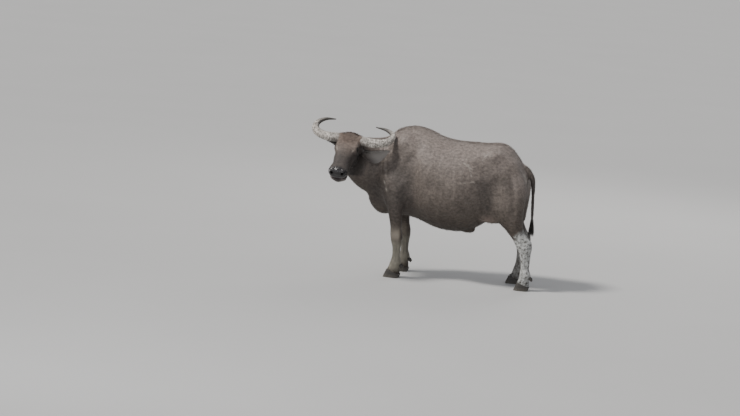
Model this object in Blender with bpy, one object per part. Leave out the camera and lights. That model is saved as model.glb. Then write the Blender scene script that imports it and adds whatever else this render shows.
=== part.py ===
"""Water buffalo bull of the swamp type, life size, standing with its head turned to its left.

Metres, +Z up. The animal faces -X and its left side is at -Y. All hooves stand at z = 0, and the
origin is the centre of the whole model's box, at its bottom.
"""

import math
import random
from collections import namedtuple

import bmesh
import bpy
import numpy as np
from mathutils import Matrix, Vector
from mathutils.bvhtree import BVHTree

# Driving dimensions, in metres
WITHERS_HEIGHT = 1.328
HIP_HEIGHT = 1.25
BACK_HEIGHT = 1.235
BELLY_HEIGHT = 0.44
BARREL_HALF_WIDTH = 0.355
HEAD_LENGTH = 0.452
HORN_HALF_SPAN = 0.352
HORN_ROOT_RADIUS = 0.044
EYE_RADIUS = 0.0205
EAR_LENGTH = 0.26
EAR_WIDTH = 0.125
HOOF_HEIGHT = 0.062
HOOF_GAP = 0.012
CORONET_SLOPE = 0.36
JOINT_GAP = 0.0003
SWITCH_LENGTH = 0.150
SWITCH_LOCKS = 10

# Where the poll is, and how the head is turned there: the face's own direction from the poll to the
# muzzle, and the direction of the animal's left ear.
POLL = Vector((-0.703, -0.288, 1.216))
FACE_DIRECTION = Vector((-0.065, -0.862, -0.505))
HEAD_LEFT = Vector((0.997, -0.039, -0.060))

# Triangles kept in each mass of flesh once it is fused
BODY_TRIANGLES = 4300
HEAD_TRIANGLES = 3500
BODY_VOXEL = 0.011
HEAD_VOXEL = 0.0045

Section = namedtuple("Section", "x y z up down side power")
Leg = namedtuple("Leg", "z front rear inner outer power")


def clear_scene():
    for old in list(bpy.data.objects):
        bpy.data.objects.remove(old, do_unlink=True)


def material(name, colour, roughness):
    made = bpy.data.materials.new(name)
    made.use_nodes = True
    shader = made.node_tree.nodes["Principled BSDF"]
    shader.inputs["Base Color"].default_value = (*colour, 1.0)
    shader.inputs["Roughness"].default_value = roughness
    shader.inputs["Metallic"].default_value = 0.0
    return made


def add_object(name, mesh, paint=None):
    made = bpy.data.objects.new(name, mesh)
    bpy.context.scene.collection.objects.link(made)
    if paint is not None:
        mesh.materials.clear()
        mesh.materials.append(paint)
    return made


def mesh_of(name, points, faces):
    mesh = bpy.data.meshes.new(name)
    mesh.from_pydata([tuple(map(float, p)) for p in points], [], faces)
    mesh.validate()
    return mesh


def curve_through(rows, count):
    """The rows read at even steps of length along one smooth curve through all of them."""
    rows = np.array(rows, float)
    steps = np.linalg.norm(np.diff(rows[:, :3], axis=0), axis=1)
    along = np.concatenate([[0.0], np.cumsum(steps)])
    slopes = np.gradient(rows, along, axis=0)
    at = np.linspace(0.0, along[-1], count)
    i = np.clip(np.searchsorted(along, at, side="right") - 1, 0, len(along) - 2)
    span = (along[i + 1] - along[i])[:, None]
    u = (at - along[i])[:, None] / span
    return (
        (1 + 2 * u) * (1 - u) ** 2 * rows[i]
        + u * (1 - u) ** 2 * span * slopes[i]
        + u * u * (3 - 2 * u) * rows[i + 1]
        + u * u * (u - 1) * span * slopes[i + 1]
    )


def unit(vectors):
    return vectors / np.linalg.norm(vectors, axis=-1, keepdims=True)


def loft(sections, rings, sides, up, along=None):
    """A closed tube of superellipse rings through the sections, with up as each ring's upward side.
    along fixes the direction that the rings face, and otherwise they face along the tube."""
    rows = curve_through(sections, rings)
    centres = rows[:, :3]
    facing = np.gradient(centres, axis=0) if along is None else np.tile(along, (rings, 1))
    facing = unit(np.asarray(facing, float))
    side_axis = unit(np.cross(np.asarray(up, float), facing))
    up_axis = np.cross(facing, side_axis)
    angle = np.linspace(0.0, 2 * math.pi, sides, endpoint=False)
    cosine, sine = np.cos(angle), np.sin(angle)
    power = 2.0 / rows[:, 6:7]
    across = np.sign(cosine) * np.abs(cosine) ** power * rows[:, 5:6]
    reach = np.where(sine > 0, rows[:, 3:4], rows[:, 4:5])
    upward = np.sign(sine) * np.abs(sine) ** power * reach
    points = (
        centres[:, None]
        + across[..., None] * side_axis[:, None]
        + upward[..., None] * up_axis[:, None]
    ).reshape(-1, 3)
    faces = []
    for ring in range(rings - 1):
        for k in range(sides):
            a, b = ring * sides + k, ring * sides + (k + 1) % sides
            faces.append((a, b, b + sides, a + sides))
    faces.append(tuple(range(sides))[::-1])
    faces.append(tuple((rings - 1) * sides + k for k in range(sides)))
    return points, faces


def facing_out(mesh):
    """The mesh with its faces turned outwards."""
    work = bmesh.new()
    work.from_mesh(mesh)
    bmesh.ops.recalc_face_normals(work, faces=work.faces)
    work.to_mesh(mesh)
    work.free()
    return mesh


def loft_object(name, sections, rings, sides, up, along=None, paint=None):
    mesh = facing_out(mesh_of(name, *loft(sections, rings, sides, up, along)))
    return add_object(name, mesh, paint)


def ellipsoid(name, centre, radii, turn=None, segments=24):
    """An ellipsoid, turned by a 3 x 3 matrix whose columns are the directions of its radii."""
    work = bmesh.new()
    bmesh.ops.create_uvsphere(work, u_segments=segments, v_segments=segments // 2, radius=1.0)
    mesh = bpy.data.meshes.new(name)
    work.to_mesh(mesh)
    work.free()
    matrix = (turn or Matrix.Identity(3)).to_4x4() @ Matrix.Diagonal((*radii, 1.0))
    mesh.transform(Matrix.Translation(Vector(centre)) @ matrix)
    return add_object(name, mesh)


def evaluated(made):
    """The object's mesh with its modifiers applied, put in place of its own."""
    graph = bpy.context.evaluated_depsgraph_get()
    mesh = bpy.data.meshes.new_from_object(made.evaluated_get(graph))
    made.modifiers.clear()
    made.data = mesh
    return made


def largest_body(made):
    """Keeps the object's largest closed surface alone."""
    work = bmesh.new()
    work.from_mesh(made.data)
    work.verts.ensure_lookup_table()
    left, bodies = set(work.verts), []
    while left:
        seed = left.pop()
        body, front = {seed}, [seed]
        while front:
            for edge in front.pop().link_edges:
                for vert in edge.verts:
                    if vert in left:
                        left.discard(vert)
                        body.add(vert)
                        front.append(vert)
        bodies.append(body)
    bodies.sort(key=len)
    small = [vert for body in bodies[:-1] for vert in body]
    bmesh.ops.delete(work, geom=small, context="VERTS")
    work.to_mesh(made.data)
    work.free()
    return made


def fuse(name, masses, voxel, rounds):
    """One closed skin over overlapping masses, which it uses up, with their creases smoothed."""
    points, faces = [], []
    for mass in masses:
        start = len(points)
        points += [mass.matrix_world @ vert.co for vert in mass.data.vertices]
        faces += [[start + i for i in face.vertices] for face in mass.data.polygons]
        bpy.data.objects.remove(mass, do_unlink=True)
    made = add_object(name, mesh_of(name, points, faces))
    skin = made.modifiers.new("skin", "REMESH")
    skin.mode = "VOXEL"
    skin.voxel_size = voxel
    smooth = made.modifiers.new("smooth", "SMOOTH")
    smooth.factor = 0.5
    smooth.iterations = rounds
    return largest_body(evaluated(made))


def relax(made, weight, rounds):
    """Smooths the skin where weight, a function of its points, is above 0."""
    group = made.vertex_groups.new(name="relax")
    for index, amount in enumerate(weight(positions(made.data))):
        if amount > 0.01:
            group.add([index], float(amount), "REPLACE")
    smooth = made.modifiers.new("relax", "SMOOTH")
    smooth.factor = 0.5
    smooth.iterations = rounds
    smooth.vertex_group = group.name
    return evaluated(made)


def positions(mesh):
    flat = np.empty(len(mesh.vertices) * 3, np.float32)
    mesh.vertices.foreach_get("co", flat)
    return flat.reshape(-1, 3).astype(float)


def normals(mesh):
    flat = np.empty(len(mesh.vertices) * 3, np.float32)
    mesh.vertex_normals.foreach_get("vector", flat)
    return flat.reshape(-1, 3).astype(float)


def put_positions(mesh, points):
    mesh.vertices.foreach_set("co", points.astype(np.float32).ravel())
    mesh.update()


def falloff(distance):
    """1 at the middle, easing to 0 at distance 1 and beyond."""
    return np.clip(1.0 - distance**2, 0.0, 1.0) ** 2


def swell(made, centre, radii, height, turn=None):
    """Raises the skin round a centre along its normals, or sinks it where height is negative."""
    points = positions(made.data)
    away = (points - np.array(centre)) @ np.array(turn or Matrix.Identity(3))
    amount = falloff(np.linalg.norm(away / np.array(radii), axis=1)) * height
    put_positions(made.data, points + normals(made.data) * amount[:, None])


def thin_out(made, triangles):
    """Fewer triangles, kept where the surface curves most."""
    work = bmesh.new()
    work.from_mesh(made.data)
    bmesh.ops.triangulate(work, faces=work.faces)
    work.to_mesh(made.data)
    work.free()
    fewer = made.modifiers.new("fewer", "DECIMATE")
    fewer.ratio = min(1.0, triangles / len(made.data.polygons))
    return evaluated(made)


def boolean(made, other, operation):
    change = made.modifiers.new(operation.lower(), "BOOLEAN")
    change.operation = operation
    change.object = other
    change.solver = "EXACT"
    return evaluated(made)


def copy_of(made, name):
    return add_object(name, made.data.copy())


def prism(name, outline, inner, outer):
    """A cutter: an outline of (x, z) points carried along Y from inner to outer."""
    count = len(outline)
    points = [(x, y, z) for y in (inner, outer) for x, z in outline]
    faces = [tuple(range(count))[::-1], tuple(range(count, 2 * count))]
    faces += [(k, (k + 1) % count, (k + 1) % count + count, k + count) for k in range(count)]
    return add_object(name, facing_out(mesh_of(name, points, faces)))


def slab(name, point, normal, size=3.0):
    """A cutter: a block of this size whose one face passes through the point, facing the normal."""
    work = bmesh.new()
    bmesh.ops.create_cube(work, size=1.0)
    mesh = bpy.data.meshes.new(name)
    work.to_mesh(mesh)
    work.free()
    turn = Vector(normal).to_track_quat("Z", "Y").to_matrix().to_4x4()
    shift = Matrix.Translation(Vector(point) - Vector(normal).normalized() * (size / 2))
    mesh.transform(shift @ turn @ Matrix.Diagonal((size, size, size, 1.0)))
    return add_object(name, mesh)


def remove(*objects):
    for old in objects:
        bpy.data.objects.remove(old, do_unlink=True)


# The head's own frame: forward along the face, left, and out of the forehead
HEAD_FORWARD = FACE_DIRECTION.normalized()
HEAD_SIDE = (HEAD_LEFT - HEAD_FORWARD * HEAD_LEFT.dot(HEAD_FORWARD)).normalized()
HEAD_OUT = HEAD_FORWARD.cross(HEAD_SIDE)
HEAD_TURN = Matrix((HEAD_FORWARD, HEAD_SIDE, HEAD_OUT)).transposed()


def in_head(forward, left, out):
    """A point given by its places in the head's own frame, whose origin is the poll."""
    return POLL + HEAD_TURN @ Vector((forward, left, out))


def place_in_head(made):
    made.data.transform(Matrix.Translation(POLL) @ HEAD_TURN.to_4x4())
    return made


def torso_masses():
    """The trunk as one loft, with the masses of muscle and bone that stand out of it."""

    def ring(x, top, bottom, side, power, rise=0.47):
        centre = bottom + (top - bottom) * rise
        return Section(x, 0.0, centre, top - centre, centre - bottom, side, power)

    trunk = [
        ring(-0.50, 0.92, 0.66, 0.09, 2.0),
        ring(-0.45, 1.12, 0.585, 0.17, 2.0),
        ring(-0.36, 1.264, 0.535, 0.215, 1.95),
        ring(-0.25, WITHERS_HEIGHT - 0.008, 0.53, 0.235, 1.85),
        ring(-0.15, WITHERS_HEIGHT + 0.006, 0.525, 0.265, 1.8),
        ring(-0.05, WITHERS_HEIGHT - 0.014, 0.495, 0.305, 1.9),
        ring(0.06, BACK_HEIGHT + 0.032, 0.457, 0.335, 2.0),
        ring(0.18, BACK_HEIGHT + 0.004, BELLY_HEIGHT, BARREL_HALF_WIDTH, 2.05, 0.44),
        ring(0.30, BACK_HEIGHT + 0.002, BELLY_HEIGHT + 0.004, BARREL_HALF_WIDTH, 2.1, 0.44),
        ring(0.42, BACK_HEIGHT, 0.488, 0.325, 2.15, 0.46),
        ring(0.52, BACK_HEIGHT + 0.006, 0.55, 0.275, 2.2, 0.5),
        ring(0.62, HIP_HEIGHT + 0.002, 0.60, 0.235, 2.1, 0.55),
        ring(0.70, HIP_HEIGHT - 0.045, 0.64, 0.20, 2.0, 0.55),
        ring(0.77, 1.125, 0.68, 0.165, 2.0, 0.55),
        ring(0.84, 1.01, 0.74, 0.10, 2.0, 0.5),
    ]
    masses = [loft_object("trunk", trunk, 60, 48, (0, 0, 1), along=(1, 0, 0))]
    for side in (-1, 1):
        masses += [
            ellipsoid("shoulder_blade", (-0.225, side * 0.150, 1.02), (0.145, 0.085, 0.26)),
            ellipsoid("upper_arm", (-0.28, side * 0.18, 0.80), (0.15, 0.092, 0.17)),
            ellipsoid("shoulder_point", (-0.375, side * 0.15, 0.835), (0.095, 0.085, 0.12)),
            ellipsoid("hook_bone", (0.555, side * 0.195, 1.135), (0.085, 0.070, 0.065)),
            ellipsoid("rump", (0.645, side * 0.13, 0.985), (0.165, 0.115, 0.165)),
            ellipsoid("thigh", (0.70, side * 0.155, 0.84), (0.175, 0.105, 0.22)),
            ellipsoid("pin_bone", (0.815, side * 0.075, 0.965), (0.055, 0.045, 0.055)),
            ellipsoid("flank_fold", (0.565, side * 0.19, 0.655), (0.11, 0.045, 0.10)),
        ]
    masses += [
        ellipsoid("brisket", (-0.405, 0.0, 0.635), (0.118, 0.110, 0.108)),
        ellipsoid("dewlap", (-0.465, -0.01, 0.69), (0.095, 0.080, 0.130)),
        ellipsoid("tail_head", (0.775, 0.0, 1.035), (0.095, 0.045, 0.045)),
        ellipsoid("sheath", (0.345, 0.0, 0.462), (0.080, 0.026, 0.034)),
        ellipsoid("groin", (0.58, 0.0, 0.625), (0.13, 0.15, 0.085)),
    ]
    return masses


def neck_masses():
    """The neck, bent round to the animal's left up to the back of the skull."""
    back = in_head(-0.02, 0.0, -0.135)
    further = in_head(0.05, 0.0, -0.155)
    sections = [
        Section(-0.20, 0.0, 0.95, 0.330, 0.33, 0.200, 2.0),
        Section(-0.34, 0.0, 0.955, 0.310, 0.33, 0.185, 2.0),
        Section(-0.45, -0.005, 0.975, 0.260, 0.30, 0.160, 2.0),
        Section(-0.55, -0.030, 1.010, 0.200, 0.29, 0.136, 2.0),
        Section(-0.635, -0.075, 1.050, 0.155, 0.250, 0.118, 2.0),
        Section(-0.685, -0.135, 1.085, 0.128, 0.215, 0.106, 2.0),
        Section(back.x, back.y, back.z, 0.110, 0.145, 0.094, 2.0),
        Section(further.x, further.y, further.z, 0.075, 0.085, 0.075, 2.0),
    ]
    return [loft_object("neck_tube", sections, 44, 40, (0, 0, 1))]


def foreleg_rows():
    """A foreleg's sections from the shoulder down."""
    return [
        Leg(0.95, -0.38, -0.16, 0.09, 0.225, 2.1),
        Leg(0.80, -0.41, -0.165, 0.10, 0.265, 2.1),
        Leg(0.70, -0.392, -0.195, 0.115, 0.270, 2.1),
        Leg(0.60, -0.352, -0.202, 0.13, 0.258, 2.1),
        Leg(0.50, -0.318, -0.203, 0.145, 0.244, 2.1),
        Leg(0.43, -0.304, -0.200, 0.148, 0.241, 2.2),
        Leg(0.375, -0.300, -0.188, 0.142, 0.248, 2.4),
        Leg(0.33, -0.291, -0.187, 0.146, 0.245, 2.4),
        Leg(0.27, -0.274, -0.196, 0.155, 0.235, 2.2),
        Leg(0.18, -0.271, -0.195, 0.156, 0.234, 2.2),
        Leg(0.13, -0.284, -0.178, 0.142, 0.248, 2.3),
        Leg(0.09, -0.294, -0.193, 0.147, 0.243, 2.3),
        Leg(0.055, -0.313, -0.190, 0.137, 0.253, 2.4),
        Leg(0.015, -0.313, -0.190, 0.137, 0.253, 2.4),
    ]


def hindleg_rows():
    """A hind leg's sections from the croup down."""
    return [
        Leg(1.00, 0.58, 0.80, 0.05, 0.18, 2.1),
        Leg(0.90, 0.55, 0.862, 0.045, 0.235, 2.2),
        Leg(0.78, 0.54, 0.868, 0.05, 0.258, 2.2),
        Leg(0.68, 0.55, 0.862, 0.065, 0.260, 2.1),
        Leg(0.60, 0.605, 0.860, 0.085, 0.250, 2.1),
        Leg(0.53, 0.690, 0.866, 0.105, 0.235, 2.1),
        Leg(0.47, 0.748, 0.905, 0.116, 0.226, 2.1),
        Leg(0.425, 0.785, 0.946, 0.118, 0.226, 2.2),
        Leg(0.375, 0.812, 0.954, 0.118, 0.226, 2.3),
        Leg(0.32, 0.841, 0.948, 0.126, 0.218, 2.3),
        Leg(0.25, 0.860, 0.946, 0.132, 0.212, 2.2),
        Leg(0.18, 0.866, 0.946, 0.133, 0.211, 2.2),
        Leg(0.13, 0.860, 0.964, 0.120, 0.224, 2.3),
        Leg(0.09, 0.856, 0.949, 0.125, 0.219, 2.3),
        Leg(0.055, 0.841, 0.952, 0.115, 0.229, 2.4),
        Leg(0.015, 0.841, 0.952, 0.115, 0.229, 2.4),
    ]


# How far each foot stands in front (-) of the place that the sections give, or behind it
FOOT_SHIFTS = {
    ("fore", "left"): 0.0,
    ("fore", "right"): 0.012,
    ("hind", "left"): 0.0,
    ("hind", "right"): -0.12,
}
SIDES = {"left": -1, "right": 1}
PIVOT_HEIGHT = 0.70


def leg_rows(end, side):
    """The leg's sections, swung about a pivot so that its foot moves by its shift."""
    shift = FOOT_SHIFTS[end, side]
    moved = []
    for row in foreleg_rows() if end == "fore" else hindleg_rows():
        slid = shift * max(0.0, (PIVOT_HEIGHT - row.z) / PIVOT_HEIGHT)
        moved.append(row._replace(front=row.front + slid, rear=row.rear + slid))
    return moved


def leg_mass(name, rows, side):
    sections = [
        Section(
            0.5 * (r.front + r.rear),
            side * 0.5 * (r.inner + r.outer),
            r.z,
            0.5 * (r.rear - r.front),
            0.5 * (r.rear - r.front),
            0.5 * (r.outer - r.inner),
            r.power,
        )
        for r in rows
    ]
    return loft_object(name, sections, 70, 28, (1, 0, 0), along=(0, 0, -1))


def ease(values, low, high):
    """0 below low, 1 above high, and a smooth step between."""
    u = np.clip((values - low) / (high - low), 0.0, 1.0)
    return u * u * (3 - 2 * u)


def build_body():
    """Trunk, neck and legs as one skin."""
    masses = torso_masses() + neck_masses() + skull_masses()
    for end, side in FOOT_SHIFTS:
        masses.append(leg_mass(f"{end}_{side}", leg_rows(end, side), SIDES[side]))
    body = fuse("body", masses, BODY_VOXEL, 5)
    relax(body, lambda points: ease(points[:, 2], 0.50, 0.72), 110)
    for side in (-1, 1):
        swell(body, (0.45, side * 0.27, 1.04), (0.14, 0.15, 0.13), -0.018)
        swell(body, (-0.10, side * 0.24, 0.80), (0.06, 0.12, 0.25), -0.008)
    return body


def skull_masses():
    """Skull and jaw, in the head's own frame and then put in place."""

    def ring(forward, top, bottom, side, power, rise=0.5):
        centre = bottom + (top - bottom) * rise
        return Section(forward, 0.0, centre, top - centre, centre - bottom, side, power)

    tip = HEAD_LENGTH
    skull = [
        ring(-0.085, -0.060, -0.130, 0.045, 2.1),
        ring(-0.065, -0.016, -0.170, 0.085, 2.3),
        ring(-0.03, 0.002, -0.185, 0.100, 2.5, 0.6),
        ring(0.03, 0.008, -0.185, 0.104, 2.6, 0.65),
        ring(0.09, 0.006, -0.180, 0.100, 2.6, 0.65),
        ring(0.15, 0.000, -0.165, 0.094, 2.6, 0.65),
        ring(0.21, -0.012, -0.150, 0.082, 2.6, 0.6),
        ring(0.27, -0.024, -0.140, 0.072, 2.6, 0.55),
        ring(0.33, -0.033, -0.135, 0.070, 2.6, 0.5),
        ring(0.38, -0.038, -0.138, 0.080, 2.6, 0.5),
        ring(tip - 0.025, -0.052, -0.138, 0.084, 2.5, 0.5),
        ring(tip - 0.003, -0.074, -0.130, 0.066, 2.2, 0.5),
    ]
    jaw = [
        ring(-0.005, -0.100, -0.235, 0.062, 2.2),
        ring(0.04, -0.090, -0.270, 0.084, 2.2),
        ring(0.11, -0.090, -0.265, 0.088, 2.2),
        ring(0.18, -0.100, -0.238, 0.074, 2.2),
        ring(0.25, -0.110, -0.212, 0.060, 2.2),
        ring(0.32, -0.115, -0.200, 0.063, 2.3),
        ring(0.375, -0.115, -0.203, 0.074, 2.4),
        ring(tip - 0.045, -0.120, -0.198, 0.071, 2.4),
        ring(tip - 0.022, -0.130, -0.184, 0.050, 2.2),
    ]
    masses = [
        loft_object("skull", skull, 48, 40, (0, 0, 1), along=(1, 0, 0)),
        loft_object("jaw", jaw, 40, 36, (0, 0, 1), along=(1, 0, 0)),
    ]
    return [place_in_head(mass) for mass in masses]


def face_masses():
    """Nose, lips, chin, orbits and the roots of horns and ears."""
    tip = HEAD_LENGTH
    masses = [
        ellipsoid("nose_pad", (tip - 0.043, 0.0, -0.088), (0.046, 0.070, 0.042)),
        ellipsoid("chin", (tip - 0.060, 0.0, -0.176), (0.046, 0.048, 0.030)),
        ellipsoid("throat", (0.010, 0.0, -0.175), (0.090, 0.092, 0.090)),
    ]
    for side in (-1, 1):
        masses += [
            ellipsoid("orbit", (0.135, side * 0.076, -0.044), (0.050, 0.035, 0.038)),
            ellipsoid("brow", (0.105, side * 0.076, -0.022), (0.062, 0.024, 0.024)),
            ellipsoid("cheek", (0.170, side * 0.070, -0.125), (0.115, 0.026, 0.060)),
            ellipsoid("horn_boss", (0.0, side * 0.080, -0.038), (0.054, 0.046, 0.048)),
            ellipsoid("ear_root", (0.045, side * 0.088, -0.102), (0.046, 0.036, 0.040)),
            ellipsoid("nostril_wing", (tip - 0.040, side * 0.048, -0.080), (0.040, 0.032, 0.032)),
            ellipsoid("upper_lip", (tip - 0.108, side * 0.046, -0.115), (0.098, 0.038, 0.037)),
        ]
    return [place_in_head(mass) for mass in masses]


def forward_of(points):
    """How far down the face each point is, from the poll's level."""
    return (points - np.array(POLL)) @ np.array(HEAD_FORWARD)


def neck_side_block(at):
    """A cutter that is all of the neck's side of the plane through this place in the head."""
    middle = Vector(at) + Vector(HEAD_PARTING_BACK) * 0.6
    return block("behind", in_head(*middle), (1.2, 2.4, 2.4), parting_turn())


def build_head():
    head = fuse("head", skull_masses() + face_masses() + neck_masses(), HEAD_VOXEL, 5)
    relax(head, lambda points: 1.0 - 0.62 * ease(forward_of(points), 0.30, 0.40), 45)
    rough_cut = Vector(HEAD_PARTING_POINT) + Vector(HEAD_PARTING_BACK) * 0.03
    carve(head, neck_side_block(rough_cut))
    return head


def horn_line(sweep, tip):
    """The horn's middle line as (lateral, back) in the plane of the face, with tip its last lateral."""
    span = HORN_HALF_SPAN
    return [
        (0.060, 0.000),
        (0.115, -0.004),
        (0.18, -0.010),
        (0.72 * span, 0.000),
        (0.90 * span, 0.16 * sweep),
        (0.985 * span, 0.42 * sweep),
        (0.96 * span, 0.70 * sweep),
        (0.6 * span + 0.4 * tip, 0.91 * sweep),
        (tip, sweep),
    ]


def horn(name, side, sweep, tip, paint):
    """A crescent horn of rounded section, tapering to its tip."""
    widths = [1.0, 1.0, 0.97, 0.90, 0.80, 0.68, 0.54, 0.36, 0.10]
    sections = []
    for (lateral, back), width in zip(horn_line(sweep, tip), widths):
        radius = HORN_ROOT_RADIUS * width
        deep = 0.85 * radius
        sections.append(Section(-back, side * lateral, -0.036, deep, deep, radius, 2.3))
    made = loft_object(name, sections, 22, 11, (0, 0, 1), paint=paint)
    return place_in_head(made)


# Each ear in the head's frame: its root, its long axis, its width's axis and its middle's sag
EARS = {
    "ear_left": ((0.05, 0.095, -0.10), (-0.21, 0.976, 0.0), (-0.13, 0.0, 0.99), 0.045),
    "ear_right": ((0.05, -0.095, -0.10), (-0.56, -0.815, -0.153), (0.514, -0.486, 0.705), 0.0),
}


def ear(name, root, axis, width_axis, sag, paint):
    """A leaf-shaped ear whose edges curl round its cup, from a funnel at its root to a flat tip.
    Its middle hangs by sag below the line from root to tip."""
    axis = Vector(axis).normalized()
    width_axis = Vector(width_axis)
    width_axis = (width_axis - axis * width_axis.dot(axis)).normalized()
    opening = axis.cross(width_axis)
    if opening.x < 0:
        opening.negate()
    shape = [
        (0.00, 0.36, 2.1),
        (0.12, 0.42, 1.9),
        (0.25, 0.66, 1.3),
        (0.40, 0.92, 0.9),
        (0.55, 1.00, 0.75),
        (0.70, 0.86, 0.7),
        (0.85, 0.54, 0.65),
        (0.95, 0.26, 0.6),
        (1.00, 0.07, 0.6),
    ]
    rows = curve_through([(s, 0, 0, w, c) for s, w, c in shape], 14)
    across = np.linspace(-1.0, 1.0, 8)
    inner, outer = [], []
    for s, _, _, width, curl in rows:
        half = 0.5 * EAR_WIDTH * width
        radius = half / math.sin(min(curl, math.pi / 2))
        rim = radius * math.cos(min(curl, math.pi / 2))
        drop = 0.45 * half + sag * math.sin(math.pi * s**0.8)
        centre = Vector(root) + axis * (EAR_LENGTH * s) - width_axis * drop
        for t in across:
            thick = (0.0075 - 0.0025 * s) * (1 - 0.45 * t * t)
            for surface, reach in ((inner, radius), (outer, radius + thick)):
                angle = t * curl
                surface.append(
                    centre
                    + width_axis * (reach * math.sin(angle))
                    + opening * (rim - reach * math.cos(angle))
                )
    points = inner + outer
    count, wide = len(inner), len(across)
    faces = []
    for i in range(len(rows) - 1):
        for k in range(wide - 1):
            a, b = i * wide + k, (i + 1) * wide + k
            faces += [(a, a + 1, b + 1), (a, b + 1, b)]
            c, d = a + count, b + count
            faces += [(c, d + 1, c + 1), (c, d, d + 1)]
        for k in (0, wide - 1):
            a, b = i * wide + k, (i + 1) * wide + k
            faces.append((a, b, b + count, a + count))
    for i in (0, len(rows) - 1):
        for k in range(wide - 1):
            a = i * wide + k
            faces.append((a, a + 1, a + 1 + count, a + count))
    made = add_object(name, facing_out(mesh_of(name, points, faces)), paint)
    return place_in_head(made)


def seat(child, *parents):
    """Cuts the child back to a gap off each parent's skin, where its root is sunk into it."""
    for parent in parents:
        skin = copy_of(parent, "skin")
        put_positions(skin.data, positions(skin.data) + normals(skin.data) * JOINT_GAP)
        boolean(child, skin, "DIFFERENCE")
        remove(skin)
    return largest_body(child)


def carve(made, *cutters):
    """Takes the cutters out of the object and uses them up."""
    for cutter in cutters:
        boolean(made, cutter, "DIFFERENCE")
        remove(cutter)
    return largest_body(made)


def block(name, centre, sizes, turn):
    """A box cutter, with turn's columns as its own axes."""
    work = bmesh.new()
    bmesh.ops.create_cube(work, size=1.0)
    mesh = bpy.data.meshes.new(name)
    work.to_mesh(mesh)
    work.free()
    matrix = turn.to_4x4() @ Matrix.Diagonal((*sizes, 1.0))
    mesh.transform(Matrix.Translation(Vector(centre)) @ matrix)
    return add_object(name, mesh)


def grown(outline, gap):
    """A convex outline, given anticlockwise, with each edge moved out by the gap."""
    moved = []
    count = len(outline)
    for k in range(count):
        a, b = Vector(outline[k]), Vector(outline[(k + 1) % count])
        out = Vector(((b - a).y, -(b - a).x)).normalized()
        moved.append((a + out * gap, b + out * gap))
    corners = []
    for k in range(count):
        (a, b), (c, d) = moved[k - 1], moved[k]
        e, f = b - a, d - c
        t = ((c.x - a.x) * f.y - (c.y - a.y) * f.x) / (e.x * f.y - e.y * f.x)
        corners.append(tuple(a + e * t))
    return corners


# Where the legs are parted from the trunk: outlines seen from the side, anticlockwise in (x, z)
LEG_PARTING = {
    "fore": [
        (-0.52, -0.10),
        (-0.03, -0.10),
        (-0.12, 0.64),
        (-0.19, 0.735),
        (-0.35, 0.77),
        (-0.46, 0.68),
    ],
    "hind": [
        (0.48, -0.10),
        (1.15, -0.10),
        (1.10, 0.66),
        (0.93, 0.79),
        (0.72, 0.85),
        (0.56, 0.79),
        (0.47, 0.66),
    ],
}
LEG_PARTING_DEPTH = {"fore": 0.075, "hind": 0.030}
NECK_PARTING_POINT = (-0.42, 0.0, 0.98)
NECK_PARTING_FACING = (-0.985, 0.0, -0.17)
HEAD_PARTING_POINT = (-0.030, 0.0, -0.135)
HEAD_PARTING_BACK = (-0.917, 0.0, -0.399)


def leg_prism(end, side, gap):
    outline = grown(LEG_PARTING[end], gap)
    return prism("leg_prism", outline, side * (LEG_PARTING_DEPTH[end] - gap), side * 0.6)


def ankle_plane(end, side):
    """The coronet of a foot: a point on the plane that parts leg and hoof, and the way it faces."""
    rows = leg_rows(end, side)
    front, rear = rows[-1].front, rows[-1].rear
    point = Vector((0.5 * (front + rear), 0.0, HOOF_HEIGHT - 0.006))
    return point, Vector((CORONET_SLOPE, 0.0, 1.0)).normalized()


def part_body(body, hide):
    """Divides the body's skin into trunk, neck and four legs, with a thin gap between them."""
    nodes = {}
    for end, side in FOOT_SHIFTS:
        leg = copy_of(body, f"{end}leg_{side}")
        cutter = leg_prism(end, SIDES[side], 0.0)
        boolean(leg, cutter, "INTERSECT")
        remove(cutter)
        point, facing = ankle_plane(end, side)
        carve(leg, slab("floor_side", point + facing * JOINT_GAP, facing))
        nodes[leg.name] = leg
        carve(body, leg_prism(end, SIDES[side], JOINT_GAP))
    head_side = block(
        "head_side",
        in_head(*(Vector(HEAD_PARTING_POINT) - Vector(HEAD_PARTING_BACK) * (0.36 - JOINT_GAP))),
        (0.72, 0.40, 0.80),
        parting_turn(),
    )
    carve(body, head_side)
    point, facing = Vector(NECK_PARTING_POINT), Vector(NECK_PARTING_FACING)
    neck = copy_of(body, "neck")
    carve(neck, slab("trunk_side", point, facing))
    carve(body, slab("neck_side", point - facing * JOINT_GAP, -facing))
    body.name = "torso"
    nodes["torso"], nodes["neck"] = body, neck
    for node in nodes.values():
        node.data.materials.clear()
        node.data.materials.append(hide)
    return nodes


def parting_turn():
    """The turn of a box whose first axis faces back across the plane that parts head and neck."""
    back = (HEAD_TURN @ Vector(HEAD_PARTING_BACK)).normalized()
    return Matrix((back, HEAD_SIDE, back.cross(HEAD_SIDE))).transposed()


# A claw from the floor up: height, how far its toe and its heel stand off the foot's, its width
CLAW_SHAPE = [
    (0.0, -0.020, -0.006, 0.98),
    (0.008, -0.019, -0.001, 1.0),
    (0.035, -0.007, 0.002, 0.985),
    (0.065, 0.005, 0.001, 0.94),
    (0.09, 0.016, -0.004, 0.88),
]


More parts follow.
